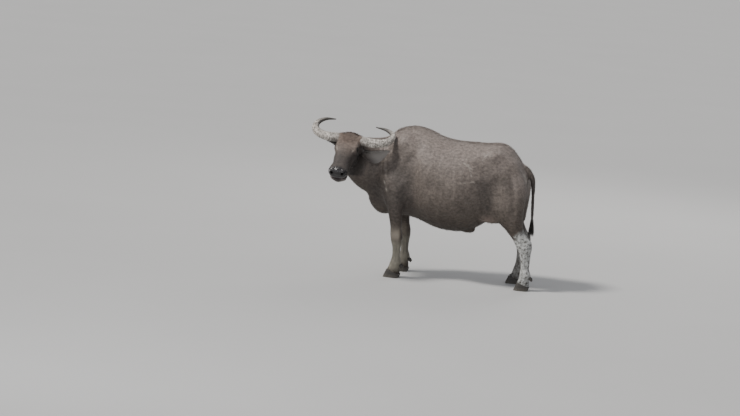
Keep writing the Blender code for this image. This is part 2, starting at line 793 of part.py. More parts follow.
def claws(end, side, paint):
    """The two claws of a cloven hoof, flat at the floor, and cut off at the coronet."""
    rows = leg_rows(end, side)
    front, rear = rows[-1].front, rows[-1].rear
    middle = SIDES[side] * 0.5 * (rows[-1].inner + rows[-1].outer)
    reach = 0.5 * (rows[-1].outer - rows[-1].inner)
    point, facing = ankle_plane(end, side)
    for which, way in (("outer", SIDES[side]), ("inner", -SIDES[side])):
        half = 0.5 * (reach + 0.004 - 0.5 * HOOF_GAP)
        y = middle + way * (0.5 * HOOF_GAP + half)
        sections = []
        for z, toe, heel, wide in CLAW_SHAPE:
            low, high = front + toe, rear + heel
            deep = 0.5 * (high - low)
            sections.append(Section(low + deep, y, z, deep, deep, half * wide, 2.4))
        name = f"claw_{end}_{side}_{which}"
        claw = loft_object(name, sections, 5, 14, (1, 0, 0), along=(0, 0, 1), paint=paint)
        carve(claw, slab("leg_side", point, -facing))


def dewclaws(end, side, leg, paint):
    """Two small horny studs behind the fetlock."""
    row = next(r for r in leg_rows(end, side) if r.z == 0.13)
    middle = SIDES[side] * 0.5 * (row.inner + row.outer)
    for which, way in (("outer", SIDES[side]), ("inner", -SIDES[side])):
        y = middle + way * 0.024
        sections = [
            Section(row.rear - 0.022, y - way * 0.004, 0.120, 0.013, 0.013, 0.012, 2.0),
            Section(row.rear - 0.006, y, 0.110, 0.013, 0.013, 0.0125, 2.0),
            Section(row.rear + 0.007, y + way * 0.002, 0.098, 0.009, 0.009, 0.010, 2.0),
            Section(row.rear + 0.013, y + way * 0.003, 0.088, 0.0035, 0.0035, 0.005, 2.0),
        ]
        stud = loft_object(f"dewclaw_{end}_{side}_{which}", sections, 4, 7, (0, 0, 1), paint=paint)
        seat(stud, leg)


def tail_line():
    """The tail's middle line from its root over the rump down to the tip of its switch."""
    return [
        (0.775, 0.0, 1.060),
        (0.835, 0.0, 1.030),
        (0.882, 0.0, 0.968),
        (0.898, 0.0, 0.880),
        (0.903, 0.0, 0.780),
        (0.908, 0.0, 0.680),
        (0.912, 0.0, 0.600),
        (0.913, 0.0, 0.520),
        (0.911, 0.0, 0.447),
    ]


def tail(torso, hide):
    line = tail_line()
    radii = [0.034, 0.031, 0.026, 0.0205, 0.0165, 0.014, 0.0125]
    sections = [Section(*p, r, r, r * 1.1, 2.0) for p, r in zip(line, radii)]
    dock = loft_object("tail", sections, 18, 11, (1, 0, 0), paint=hide)
    seat(dock, torso)
    cut_low = slab("below", (0.912, 0.0, 0.600), (0.0, 0.0, 1.0))
    carve(dock, cut_low)


# A lock from root to tip: how far along it is, how far it stands off the tail's line, its width
LOCK_SHAPE = [
    (0.0, 0.004, 0.5),
    (0.2, 0.0135, 1.0),
    (0.5, 0.0175, 1.0),
    (0.8, 0.0145, 0.62),
    (1.0, 0.010, 0.12),
]
LOCK_HALF_WIDTH = 0.0105


def tail_switch(hair):
    """The tail's tuft: flat tapered locks that hang over one another from a short core."""
    rng = random.Random(5)
    root = Vector(tail_line()[6]) - Vector((0.0, 0.0, JOINT_GAP))
    core_drops = [(0.0, 0.0125), (0.020, 0.0145), (0.050, 0.0125), (0.075, 0.006)]
    core = [Section(root.x, root.y, root.z - drop, r, r, r, 2.0) for drop, r in core_drops]
    pieces = [loft_object("core", core, 5, 10, (1, 0, 0), along=(0, 0, -1), paint=hair)]
    for k in range(SWITCH_LOCKS):
        angle = 2.4 * k + rng.uniform(-0.2, 0.2)
        out = Vector((math.cos(angle), math.sin(angle), 0.0))
        sway = Vector((rng.uniform(-0.006, 0.006), rng.uniform(-0.006, 0.006), 0.0))
        start = 0.006 + 0.045 * k / SWITCH_LOCKS
        length = (SWITCH_LENGTH - start) * rng.uniform(0.80, 1.0)
        sections = []
        for along, stand, wide in LOCK_SHAPE:
            at = root + out * stand + sway * along**2 * 2 - Vector((0, 0, start + length * along))
            thick = 0.0012 + 0.0017 * wide
            sections.append(Section(*at, thick, thick, LOCK_HALF_WIDTH * wide, 2.0))
        pieces.append(loft_object("lock", sections, 5, 4, out, paint=hair))
    switch, locks = pieces[0], bpy.data.collections.new("locks")
    switch.name = "tail_switch"
    for lock in pieces[1:]:
        locks.objects.link(lock)
    join = switch.modifiers.new("join", "BOOLEAN")
    join.operation = "UNION"
    join.operand_type = "COLLECTION"
    join.collection = locks
    join.solver = "EXACT"
    join.use_self = True
    evaluated(switch)
    remove(*pieces[1:])
    bpy.data.collections.remove(locks)
    return largest_body(switch)


# The mouth's groove: its centre along the face, its swing to each side in degrees, and its depth
MOUTH_CENTRE = 0.345
MOUTH_SWING = 122
MOUTH_DEPTH = 0.008
EYE_PLACE = (0.135, 0.0840, -0.045)


def eye_and_lids(head, name, side, paint):
    """An eyeball in its socket, with an almond opening between the lids."""
    forward, lateral, out = EYE_PLACE
    centre = in_head(forward, side * lateral, out)
    ball = ellipsoid(name, centre, (EYE_RADIUS,) * 3, segments=16)
    ball.data.materials.append(paint)
    socket = ellipsoid("socket", centre, (EYE_RADIUS + JOINT_GAP,) * 3, segments=16)
    opening_at = in_head(forward, side * (lateral + 0.026), out)
    opening = ellipsoid("opening", opening_at, (0.0215, 0.022, 0.0120), HEAD_TURN, segments=12)
    carve(head, socket, opening)


def nostrils(head):
    """Comma-shaped nostrils: a round bore with a slit that runs out and back from its top."""
    tip = HEAD_LENGTH
    for side in (-1, 1):
        bore_at = in_head(tip - 0.012, side * 0.046, -0.084)
        slit_at = in_head(tip - 0.022, side * 0.064, -0.073)
        bore = ellipsoid("bore", bore_at, (0.034, 0.0125, 0.0155), HEAD_TURN, 10)
        slit = ellipsoid("slit", slit_at, (0.024, 0.016, 0.0065), HEAD_TURN, 8)
        carve(head, bore, slit)


def mouth(head):
    """The line of the mouth: a narrow groove that follows the muzzle's own surface."""
    tree = BVHTree.FromPolygons(
        [vert.co for vert in head.data.vertices],
        [face.vertices[:] for face in head.data.polygons],
    )
    sections = []
    for angle in np.radians(np.linspace(-MOUTH_SWING, MOUTH_SWING, 23)):
        swing = abs(angle) / math.radians(MOUTH_SWING)
        level = -0.150 + 0.010 * swing**2
        centre = Vector((MOUTH_CENTRE, 0.0, level))
        reach = Vector((math.cos(angle), math.sin(angle), 0.0))
        start, ray = in_head(*(centre + reach * 0.35)), HEAD_TURN @ -reach
        hit = tree.ray_cast(start, ray)[0]
        local = HEAD_TURN.transposed() @ (hit - POLL)
        deep = MOUTH_DEPTH * (1.0 - 0.6 * swing**4)
        sections.append(Section(*local, 0.0018, 0.0018, deep, 2.0))
    groove = place_in_head(loft_object("groove", sections, 26, 4, (0, 0, 1)))
    carve(head, groove)


def part_head(head, hide):
    """The head in front of the plane that parts it from the neck."""
    carve(head, neck_side_block(HEAD_PARTING_POINT))
    head.data.materials.clear()
    head.data.materials.append(hide)


def stand_at_origin():
    """Moves everything so that the centre of the whole box's bottom is the origin."""
    made = list(bpy.context.scene.objects)
    corners = np.concatenate([positions(part.data) for part in made])
    low, high = corners.min(axis=0), corners.max(axis=0)
    shift = Vector((-0.5 * (low[0] + high[0]), -0.5 * (low[1] + high[1]), -low[2]))
    for part in made:
        part.data.transform(Matrix.Translation(shift))


def main():
    clear_scene()
    hide = material("hide", (0.095, 0.083, 0.076), 0.75)
    horn_paint = material("horn", (0.35, 0.32, 0.29), 0.6)
    claw_paint = material("hoof_horn", (0.07, 0.065, 0.06), 0.55)
    eye_paint = material("eye", (0.012, 0.008, 0.006), 0.08)
    hair = material("tail_hair", (0.02, 0.018, 0.016), 0.7)
    body = thin_out(build_body(), BODY_TRIANGLES)
    head = thin_out(build_head(), HEAD_TRIANGLES)
    part_head(head, hide)
    nodes = part_body(body, hide)
    for name, side in (("eye_left", 1), ("eye_right", -1)):
        eye_and_lids(head, name, side, eye_paint)
    nostrils(head)
    mouth(head)
    seat(horn("horn_left", 1, 0.225, 0.17, horn_paint), head)
    seat(horn("horn_right", -1, 0.25, 0.20, horn_paint), head)
    for name, (root, axis, width_axis, sag) in EARS.items():
        seat(ear(name, root, axis, width_axis, sag, hide), head)
    for end, side in FOOT_SHIFTS:
        claws(end, side, claw_paint)
        dewclaws(end, side, nodes[f"{end}leg_{side}"], claw_paint)
    tail(nodes["torso"], hide)
    tail_switch(hair)
    stand_at_origin()


main()
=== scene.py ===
"""The looks of the water buffalo: one skin over its solids, short coat, horns, hooves, eyes, tail."""

import math

import bmesh
import bpy
import numpy as np
from mathutils import Matrix, Vector
from mathutils.bvhtree import BVHTree


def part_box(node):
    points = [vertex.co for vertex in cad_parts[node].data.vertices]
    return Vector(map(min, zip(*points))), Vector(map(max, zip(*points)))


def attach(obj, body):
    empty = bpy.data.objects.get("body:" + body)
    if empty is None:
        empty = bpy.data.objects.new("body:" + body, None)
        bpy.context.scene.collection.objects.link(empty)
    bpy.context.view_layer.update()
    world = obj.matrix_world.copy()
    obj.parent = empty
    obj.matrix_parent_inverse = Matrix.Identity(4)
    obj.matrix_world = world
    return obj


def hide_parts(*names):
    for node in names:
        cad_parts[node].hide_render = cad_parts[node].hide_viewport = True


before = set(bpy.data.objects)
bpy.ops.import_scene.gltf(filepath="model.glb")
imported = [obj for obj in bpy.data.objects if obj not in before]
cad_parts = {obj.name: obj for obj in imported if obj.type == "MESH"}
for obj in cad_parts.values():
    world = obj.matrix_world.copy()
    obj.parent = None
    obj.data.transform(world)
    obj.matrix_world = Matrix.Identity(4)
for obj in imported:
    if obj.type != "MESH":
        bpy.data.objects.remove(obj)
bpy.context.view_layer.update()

# Named sizes that the solids have too, in metres
HEAD_LENGTH = 0.452
HORN_HALF_SPAN = 0.352
HORN_ROOT_RADIUS = 0.044
EYE_RADIUS = 0.0205
EYE_PLACE = (0.135, 0.0840, -0.045)
EAR_LENGTH = 0.26
POLL = np.array((-0.703, -0.288, 1.216))
FACE_DIRECTION = np.array((-0.065, -0.862, -0.505))
HEAD_LEFT = np.array((0.997, -0.039, -0.060))
MOUTH_CENTRE = 0.345
MOUTH_SWING = 118
EARS = {
    "left": ((0.05, 0.095, -0.10), (-0.21, 0.976, 0.0), (-0.13, 0.0, 0.99), 0.045),
    "right": ((0.05, -0.095, -0.10), (-0.56, -0.815, -0.153), (0.514, -0.486, 0.705), 0.0),
}

# The camera: where it looks from, in degrees, its roll, its distance, and its scale in pixels a
# metre, with the pixel that the middle of the body's own frame falls on
CAMERA_AZIMUTH, CAMERA_ELEVATION, CAMERA_ROLL = 10.0, 8.0, 4.5
CAMERA_DISTANCE = 22.0
PIXELS_PER_METRE = 113.0
ORIGIN_PIXEL = (424.0, 276.5)
IMAGE_SIZE = (740, 416)
SENSOR = 36.0

# The skin starts this far outside the solids, with voxels of this size, and these rounds smooth it
OUTSET = 0.0016
EAR_OUTSET = 0.0030
SKIN_VOXEL = 0.0054
SKIN_ROUNDS = 76
HIP_ROUNDS = 160
SMOOTHING = 0.8
WEIGHT_LEVELS = 50

# The plane between head and neck, in the head's frame: a point on it, and the way that it faces
THROAT = np.array((-0.030, 0.0, -0.135))
TO_FACE = np.array((0.917, 0.0, 0.399))

# How far a hair's root lies under the skin, and half the width of its patch on the bake's map
ROOT_DEPTH = 0.0006
PATCH = 0.0015

# The grain of the hide and its hair leans by this much
LEAN = (0, math.radians(-14), 0)

FLESH = ["torso", "neck", "head"]
FLESH += [f"{part}_{side}" for part in ("ear", "foreleg", "hindleg") for side in ("left", "right")]
FLESH += ["tail"]


def unit(vectors):
    return vectors / np.maximum(np.linalg.norm(vectors, axis=-1, keepdims=True), 1e-12)


FORWARD = unit(FACE_DIRECTION)
SIDE = unit(HEAD_LEFT - FORWARD * (HEAD_LEFT @ FORWARD))
OUT = np.cross(FORWARD, SIDE)
TURN = np.stack([FORWARD, SIDE, OUT], axis=1)


def box_centre(node):
    low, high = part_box(node)
    return 0.5 * (np.array(low) + np.array(high))


# The solids were made about another origin, and were then moved by this much
SHIFT = box_centre("eye_left") - (POLL + TURN @ np.array(EYE_PLACE))
SHIFT[2] = 0.0


def in_head(places):
    """Points of the frame, from places in the head: forward along the face, left, out of it."""
    return np.asarray(places, float) @ TURN.T + POLL + SHIFT


def head_places(points):
    """The same places in the head, from points of the frame."""
    return (points - SHIFT - POLL) @ TURN


def mirrored(places, side):
    """A place or path on the head's left for side 1, and its mirror image for side -1."""
    return np.array(places, float) * (1, side, 1)


def columns(*parts):
    """An array whose columns are these numbers or arrays of numbers."""
    return np.stack(np.broadcast_arrays(*parts), axis=1)


def in_box(points, node, margin):
    """Whether each point is in the node's box, grown by a margin."""
    low, high = (np.array(corner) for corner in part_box(node))
    return np.all((points > low - margin) & (points < high + margin), axis=1)


def ease(values, low, high):
    """0 at low, 1 at high, and a smooth step between."""
    u = np.clip((values - low) / (high - low), 0.0, 1.0)
    return u * u * (3 - 2 * u)


def bump(distance):
    """1 at distance 0, easing to 0 at 1."""
    return np.clip(1.0 - distance**2, 0.0, 1.0) ** 2


def positions(mesh):
    flat = np.empty(len(mesh.vertices) * 3, np.float32)
    mesh.vertices.foreach_get("co", flat)
    return flat.reshape(-1, 3).astype(float)


def normals(mesh):
    flat = np.empty(len(mesh.vertices) * 3, np.float32)
    mesh.vertex_normals.foreach_get("vector", flat)
    return flat.reshape(-1, 3).astype(float)


def put_positions(mesh, points):
    mesh.vertices.foreach_set("co", points.astype(np.float32).ravel())
    mesh.update()


def hashed(cells, seed):
    """A number from 0 to 1 for each whole-numbered cell."""
    a = cells.astype(np.int64)
    mixed = a[..., 0] * 374761393 + a[..., 1] * 668265263 + a[..., 2] * 2147483647 + seed * 974634777
    mixed = (mixed ^ (mixed >> 13)) * 1274126177
    return ((mixed ^ (mixed >> 16)) & 0xFFFFFF) / float(0xFFFFFF)


def noise(points, size, seed=0):
    """Smooth noise from -1 to 1, whose lumps are this size."""
    scaled = points / size + 1000.0
    cell = np.floor(scaled)
    u = scaled - cell
    u = u * u * (3 - 2 * u)
    total = 0.0
    for corner in np.ndindex(2, 2, 2):
        step = np.array(corner)
        weight = np.prod(np.where(step, u, 1 - u), axis=-1)
        total = total + weight * hashed(cell + step, seed)
    return 2.0 * total - 1.0


def remesh(made, voxel):
    """Gives the object one closed surface with voxels of this size."""
    change = made.modifiers.new("remesh", "REMESH")
    change.mode = "VOXEL"
    change.voxel_size = voxel
    graph = bpy.context.evaluated_depsgraph_get()
    mesh = bpy.data.meshes.new_from_object(made.evaluated_get(graph))
    made.modifiers.clear()
    made.data = mesh


def dress(mesh, paint):
    """Gives the mesh its material and smooth shading."""
    mesh.materials.clear()
    mesh.materials.append(paint)
    mesh.polygons.foreach_set("use_smooth", [True] * len(mesh.polygons))


def add_object(name, mesh, paint=None):
    made = bpy.data.objects.new(name, mesh)
    bpy.context.scene.collection.objects.link(made)
    if paint is not None:
        dress(mesh, paint)
    return made


def mesh_of(name, points, faces):
    mesh = bpy.data.meshes.new(name)
    mesh.from_pydata(np.asarray(points, float).tolist(), [], [tuple(map(int, f)) for f in faces])
    return mesh


def facing_out(mesh):
    """Turns the faces of a closed mesh outwards."""
    work = bmesh.new()
    work.from_mesh(mesh)
    bmesh.ops.recalc_face_normals(work, faces=work.faces)
    work.to_mesh(mesh)
    work.free()


def ball(across, down, radius):
    """The points and faces of a ball about the origin."""
    work = bmesh.new()
    bmesh.ops.create_uvsphere(work, u_segments=across, v_segments=down, radius=radius)
    points = np.array([v.co for v in work.verts])
    faces = [[v.index for v in face.verts] for face in work.faces]
    work.free()
    return points, faces


def node_shape(node):
    """A CAD node's points with each shared once, their normals, and its faces."""
    work = bmesh.new()
    work.from_mesh(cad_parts[node].data)
    bmesh.ops.remove_doubles(work, verts=work.verts, dist=1e-6)
    work.normal_update()
    work.verts.index_update()
    points = np.array([v.co for v in work.verts])
    facing = np.array([v.normal for v in work.verts])
    faces = [[v.index for v in face.verts] for face in work.faces]
    work.free()
    return points, facing, faces


def smoothed(made, weight, rounds):
    """The object's points after this many rounds of smoothing, by each point's weight."""
    group = made.vertex_groups.new(name="smooth")
    levels = np.round(weight * WEIGHT_LEVELS).astype(int)
    for level in np.unique(levels):
        if level > 0:
            group.add(np.flatnonzero(levels == level).tolist(), level / WEIGHT_LEVELS, "REPLACE")
    change = made.modifiers.new("smooth", "SMOOTH")
    change.factor = SMOOTHING
    change.iterations = rounds
    change.vertex_group = group.name
    graph = bpy.context.evaluated_depsgraph_get()
    result = positions(made.evaluated_get(graph).data)
    made.modifiers.clear()
    made.vertex_groups.remove(group)
    return result


def without_facets(made, weight, rounds):
    """Smooths the object's flats away and gives back what the smoothing shrinks."""
    once = smoothed(made, weight, rounds)
    start = positions(made.data)
    put_positions(made.data, once)
    twice = smoothed(made, weight, rounds)
    put_positions(made.data, start)
    put_positions(made.data, 2 * once - twice)


def largest_body(made):
    """Deletes all of the mesh but its largest connected body."""
    work = bmesh.new()
    work.from_mesh(made.data)
    work.verts.ensure_lookup_table()
    seen = np.zeros(len(work.verts), bool)
    bodies = []
    for seed in work.verts:
        if seen[seed.index]:
            continue
        seen[seed.index] = True
        body, front = [seed], [seed]
        while front:
            for edge in front.pop().link_edges:
                for vert in edge.verts:
                    if not seen[vert.index]:
                        seen[vert.index] = True
                        body.append(vert)
                        front.append(vert)
        bodies.append(body)
    bodies.sort(key=len)
    for body in bodies[:-1]:
        bmesh.ops.delete(work, geom=body, context="VERTS")
    work.to_mesh(made.data)
    work.free()


def ear_frame(side):
    """Where the ear starts, its long axis, its width, the way its cup opens, and its sag."""
    root, axis, width_axis, sag = EARS[side]
    axis = unit(np.array(axis))
    width_axis = np.array(width_axis)
    width_axis = unit(width_axis - axis * (width_axis @ axis))
    opening = np.cross(axis, width_axis)
    if opening[0] < 0:
        opening = -opening
    return np.array(root), axis, width_axis, opening, sag


def ear_places(points, side):
    """Along the ear from 0 to 1, across its width and out of its cup in metres."""
    root, axis, width_axis, opening, sag = ear_frame(side)
    away = head_places(points) - root
    along = away @ axis / EAR_LENGTH
    drop = sag * np.sin(math.pi * np.clip(along, 0, 1) ** 0.8) + 0.028
    return along, away @ width_axis + drop, away @ opening


def near_node(node, points, reach):
    """1 on a node's own surface, easing to 0 at this reach from it."""
    co, _, faces = node_shape(node)
    tree = BVHTree.FromPolygons([Vector(p) for p in co], faces)
    share = np.zeros(len(points))
    for i in np.flatnonzero(in_box(points, node, reach)):
        gap = tree.find_nearest(Vector(points[i]))[3]
        share[i] = 1.0 - min(1.0, gap / reach)
    return ease(share, 0.0, 0.6)


def ear_share(points):
    """1 on the ears, easing to 0 at their roots."""
    share = np.zeros(len(points))
    for side in EARS:
        along = ear_places(points, side)[0]
        node = near_node(f"ear_{side}", points, 0.012)
        share = np.maximum(share, node * ease(along, 0.06, 0.16))
    return share


def head_share(points):
    """1 on the head, easing to 0 on the neck."""
    places = head_places(points)
    f, l, o = places.T
    near = (np.abs(l) < 0.16) & (o > -0.36) & (o < 0.10) & (f < 0.55)
    return np.where(near, ease((places - THROAT) @ TO_FACE, -0.035, 0.03), 0.0)


def own(points):
    """Points about the origin that the solids were first made about."""
    return points - SHIFT


def build_skin():
    """One closed surface over all the flesh, smoothed and drawn back in to the solids' size."""
    shapes = []
    for node in FLESH:
        co, facing, faces = node_shape(node)
        shapes.append((co + facing * (EAR_OUTSET if node.startswith("ear") else OUTSET), faces))
    for side in (1, -1):
        co, faces = ball(24, 16, EYE_RADIUS + 0.001)
        shapes.append((co + in_head(mirrored(EYE_PLACE, side)), faces))
    faces, start = [], 0
    for co, these in shapes:
        faces += [[start + i for i in face] for face in these]
        start += len(co)
    skin = add_object("skin", mesh_of("skin", np.concatenate([co for co, _ in shapes]), faces))
    remesh(skin, SKIN_VOXEL)
    largest_body(skin)
    at = positions(skin.data)
    head, ear, z = head_share(at), ear_share(at), at[:, 2]
    weight = 0.14 + 0.86 * ease(z, 0.50, 0.80)
    weight = np.where(own(at)[:, 0] > 0.86, np.minimum(weight, 0.08), weight)
    weight = weight * (1 - head) + 0.06 * head
    weight = weight * (1 - ear) + 0.03 * ear
    without_facets(skin, weight, SKIN_ROUNDS)
    at = own(positions(skin.data))
    hips = sum(blob(at, (0.54, side * 0.20, 1.09), (0.26, 0.28, 0.20)) for side in (-1, 1))
    put_positions(skin.data, smoothed(skin, np.clip(1.6 * hips, 0, 1), HIP_ROUNDS))
    at = positions(skin.data)
    head, ear, z = head_share(at), ear_share(at), at[:, 2]
    inset = OUTSET + 0.0012 + 0.0018 * ease(z, 0.35, 0.70) * (1 - head)
    inset = inset * (1 - ear) + (EAR_OUTSET - 0.0010) * ear
    put_positions(skin.data, at - normals(skin.data) * inset[:, None])
    return skin


def refine(made, wanted):
    """Halves the edges of the faces whose middles are wanted."""
    work = bmesh.new()
    work.from_mesh(made.data)
    work.faces.ensure_lookup_table()
    middles = np.array([face.calc_center_median() for face in work.faces])
    chosen = np.flatnonzero(wanted(middles))
    edges = list({edge for i in chosen for edge in work.faces[i].edges})
    bmesh.ops.subdivide_edges(work, edges=edges, cuts=1, use_grid_fill=True, smooth=0.0)
    work.to_mesh(made.data)
    work.free()
    made.data.polygons.foreach_set("use_smooth", [True] * len(made.data.polygons))


def rough_ear(points):
    """Whether each point is in or close to an ear's box."""
    return in_box(points, "ear_left", 0.004) | in_box(points, "ear_right", 0.004)


def face_part(points):
    """Muzzle, eyes and the face between, where the skin needs its finest mesh."""
    f, l, o = head_places(points).T
    wanted = (f > 0.27) & (np.abs(l) < 0.13) & (o > -0.24) & (o < 0.03)
    for side in (1, -1):
        wanted |= np.linalg.norm(points - in_head(mirrored(EYE_PLACE, side)), axis=1) < 0.060
    return wanted


def distance_to(points, path):
    """How far each point is from a path, and how far along the path its nearest place is."""
    path = np.asarray(path, float)
    nearest = np.full(len(points), 1e9)
    along = np.zeros(len(points))
    count = len(path) - 1
    for k, (a, b) in enumerate(zip(path[:-1], path[1:])):
        step = b - a
        t = np.clip((points - a) @ step / (step @ step), 0.0, 1.0)
        gap = np.linalg.norm(points - (a + t[:, None] * step), axis=1)
        closer = gap < nearest
        nearest = np.where(closer, gap, nearest)
        along = np.where(closer, (k + t) / count, along)
    return nearest, along


class Sculpt:
    """Gathers raised and sunk strokes along the skin's normals and then moves the skin."""

    def __init__(self, mesh):
        self.mesh = mesh
        self.look()

    def look(self):
        """Takes in where the skin is now, with no stroke made."""
        self.at = positions(self.mesh)
        self.facing = normals(self.mesh)
        self.own = own(self.at)
        self.head = head_places(self.at)
        self.body = (head_share(self.at) < 0.5) & (ear_share(self.at) < 0.05)
        self.amount = np.zeros(len(self.at))

    def line(self, places, path, width, height, where, taper=True):
        """A stroke along a path, raised or sunk by its height, which tapers at both ends."""
        path = np.asarray(path, float)
        low, high = path.min(axis=0) - width, path.max(axis=0) + width
        index = np.flatnonzero(np.all((places >= low) & (places <= high), axis=1) & where)
        if not len(index):
            return
        gap, along = distance_to(places[index], path)
        ends = np.clip(np.minimum(along, 1 - along) * 5, 0, 1) if taper else 1.0
        self.amount[index] += bump(gap / width) * height * ends

    def flank(self, path, width, height, sides=(-1, 1)):
        """A stroke given as (x, z) on the flank, on one side of the body or both."""
        for side in sides:
            where = self.body & (self.own[:, 1] * side > 0.02)
            self.line(self.own[:, [0, 2]], path, width, height, where)

    def dab(self, places, centre, radii, height, where=True):
        self.amount += np.where(where, blob(places, centre, radii) * height, 0.0)

    def apply(self):
        put_positions(self.mesh, self.at + self.facing * self.amount[:, None])
        self.look()


def sculpt_body(skin):
    work = Sculpt(skin.data)
    flank, z = work.flank, work.own[:, 2]
    on_face = (np.abs(work.head[:, 1]) < 0.16) & (work.head[:, 0] > 0.02) & (work.own[:, 0] < -0.55)
    # Shoulder blade, the arm's muscles and the groove behind them
    flank([(-0.14, 1.20), (-0.22, 1.04), (-0.30, 0.86)], 0.055, 0.005)
    flank([(-0.10, 1.16), (-0.115, 1.0), (-0.13, 0.86), (-0.15, 0.74)], 0.060, -0.006)
    flank([(-0.30, 1.12), (-0.35, 1.0), (-0.375, 0.90)], 0.045, -0.004)
    flank([(-0.17, 0.88), (-0.25, 0.79), (-0.30, 0.74)], 0.050, 0.004)
    flank([(-0.33, 0.78), (-0.27, 0.71), (-0.19, 0.68)], 0.022, -0.005)
    flank([(-0.155, 0.73), (-0.175, 0.66), (-0.20, 0.60)], 0.020, -0.006)
    for side in (-1, 1):
        work.dab(work.own, (0.635, side * 0.20, 1.115), (0.11, 0.14, 0.10), 0.007)
    # Ribs, faint
    for k in range(7):
        x = 0.00 + 0.058 * k
        flank([(x, 1.06), (x + 0.035, 0.88), (x + 0.03, 0.68)], 0.026, 0.0012)
    # Hip bone, the hollow in front of it, thigh muscles
    flank([(0.47, 1.13), (0.54, 1.17), (0.64, 1.20)], 0.060, 0.003)
    flank([(0.40, 1.15), (0.42, 1.09), (0.44, 1.02)], 0.070, 0.007)
    flank([(0.46, 1.02), (0.48, 0.95), (0.50, 0.86)], 0.085, -0.004)
    flank([(0.71, 0.99), (0.755, 0.88), (0.77, 0.74), (0.775, 0.62)], 0.040, -0.006)
    flank([(0.60, 0.98), (0.62, 0.86), (0.66, 0.74)], 0.035, -0.004)
    flank([(0.52, 0.84), (0.545, 0.75), (0.56, 0.68), (0.60, 0.63)], 0.022, 0.006)
    flank([(0.47, 0.82), (0.50, 0.74), (0.51, 0.66), (0.50, 0.60)], 0.026, -0.008)
    flank([(0.565, 0.72), (0.60, 0.66), (0.645, 0.62)], 0.016, -0.005)
    # The hollow in front of the hamstring's cord, above the hock, and the hock's point
    flank([(0.80, 0.60), (0.845, 0.53), (0.885, 0.465)], 0.018, -0.009)
    flank([(0.85, 0.60), (0.885, 0.52), (0.925, 0.445)], 0.016, 0.003)
    # Cannon bones and the sinews behind them
    for z_low, z_high, x_low, x_high in ((0.13, 0.31, -0.222, -0.226), (0.14, 0.32, 0.914, 0.905)):
        flank([(x_low, z_low), (x_high, z_high)], 0.010, -0.0035)
    # Wrinkles of skin where the legs bend, and above the hooves
    for k in range(4):
        z0 = 0.60 - 0.03 * k
        flank([(-0.205, z0), (-0.25, z0 - 0.012), (-0.29, z0 - 0.008)], 0.009, -0.0022)
    for k in range(3):
        z0 = 0.395 - 0.024 * k
        flank([(-0.31, z0), (-0.25, z0 - 0.006), (-0.19, z0)], 0.008, -0.0016)
        z1 = 0.40 - 0.024 * k
        flank([(0.80, z1), (0.86, z1 + 0.012), (0.95, z1 + 0.02)], 0.008, -0.0018)
    # Folds of the neck, on the side that it bends to and, fainter, on the other
    for k in range(6):
        x = -0.40 - 0.042 * k
        path = [(x + 0.035, 1.24 - 0.030 * k), (x, 1.08 - 0.02 * k), (x + 0.020, 0.94)]
        path.append((x + 0.05, 0.84))
        flank(path, 0.022, -0.0042 + 0.0004 * k, sides=(-1,))
        flank([(a - 0.02, b - 0.02 * (k % 2)) for a, b in path], 0.024, -0.0013, sides=(1,))
    for k in range(4):
        z0 = 0.80 - 0.045 * k
        flank([(-0.50, z0 + 0.03), (-0.44, z0), (-0.37, z0 - 0.02)], 0.016, -0.0045)
    # The crest of the neck and the line of the back
    crest = [(-0.55, 0.0, 1.24), (-0.40, 0.0, 1.275), (-0.25, 0.0, 1.32), (-0.12, 0.0, 1.33)]
    back = [(0.10, 0.0, 1.27), (0.40, 0.0, 1.24), (0.62, 0.0, 1.25)]
    work.line(work.own, crest, 0.050, 0.004, True)
    work.line(work.own, back, 0.035, 0.004, True)
    work.apply()
    # Loose skin: broad soft folds on the body and fine ones in its hollows
    loose = np.where(on_face, 0.15, 1.0) * ease(z, 0.30, 0.60)
    stretched = work.own * np.array((1.0, 1.0, 0.55))
    shaken = stretched + 0.02 * noise(work.own, 0.05, 9)[:, None]
    work.amount += loose * 0.0020 * noise(stretched, 0.075, 3)
    work.amount += loose * 0.0010 * noise(shaken, 0.028, 4)
    work.apply()


def sculpt_eye(work, side):
    """Lids round an almond opening in which the skin dips behind the eyeball."""
    centre = mirrored(EYE_PLACE, side)
    away = work.head - centre
    b, a, g = away[:, 0], away[:, 1] * side, away[:, 2]
    near = (a > -0.004) & (b * b + g * g < 0.050**2)
    tilt = math.radians(-8)
    bb = b * math.cos(tilt) - g * math.sin(tilt)
    gg = b * math.sin(tilt) + g * math.cos(tilt)
    arch = np.where(gg > 0, 0.0125, 0.0095)
    opening = (np.abs(bb) / 0.0195) ** 1.8 + (np.abs(gg) / arch) ** 1.8
    distance = np.linalg.norm(away, axis=1)
    lid = EYE_RADIUS + 0.0034 - 0.0012 * ease(opening, 1.2, 3.2)
    beyond = ease(opening, 2.6, 5.0)
    lifted = np.maximum(distance, lid) * (1 - beyond) + distance * beyond
    dipped = np.minimum(distance, EYE_RADIUS - 0.0030)
    inside = 1 - ease(opening, 0.86, 1.08)
    target = lifted * (1 - inside) + dipped * inside
    ratio = np.where(near & (distance > 1e-6), target / np.maximum(distance, 1e-6), 1.0)
    work.at = np.where(near[:, None], in_head(away * ratio[:, None] + centre), work.at)
    put_positions(work.mesh, work.at)


# Creases that follow the lids: how far out they lie, and the angles round the eye that they span
LID_CREASES = [(1.55, 20, 165), (2.1, 30, 150), (1.6, 200, 340), (2.2, 205, 330)]


def lid_crease(grow, low, high):
    """The path of a crease by the left eye, in the head's frame."""
    angle = np.radians(np.linspace(low, high, 9))
    return columns(
        EYE_PLACE[0] + 0.0185 * grow * np.cos(angle),
        EYE_PLACE[1] + 0.018 - 0.004 * grow * np.abs(np.cos(angle)),
        EYE_PLACE[2] + 0.0105 * grow * np.sin(angle),
    )


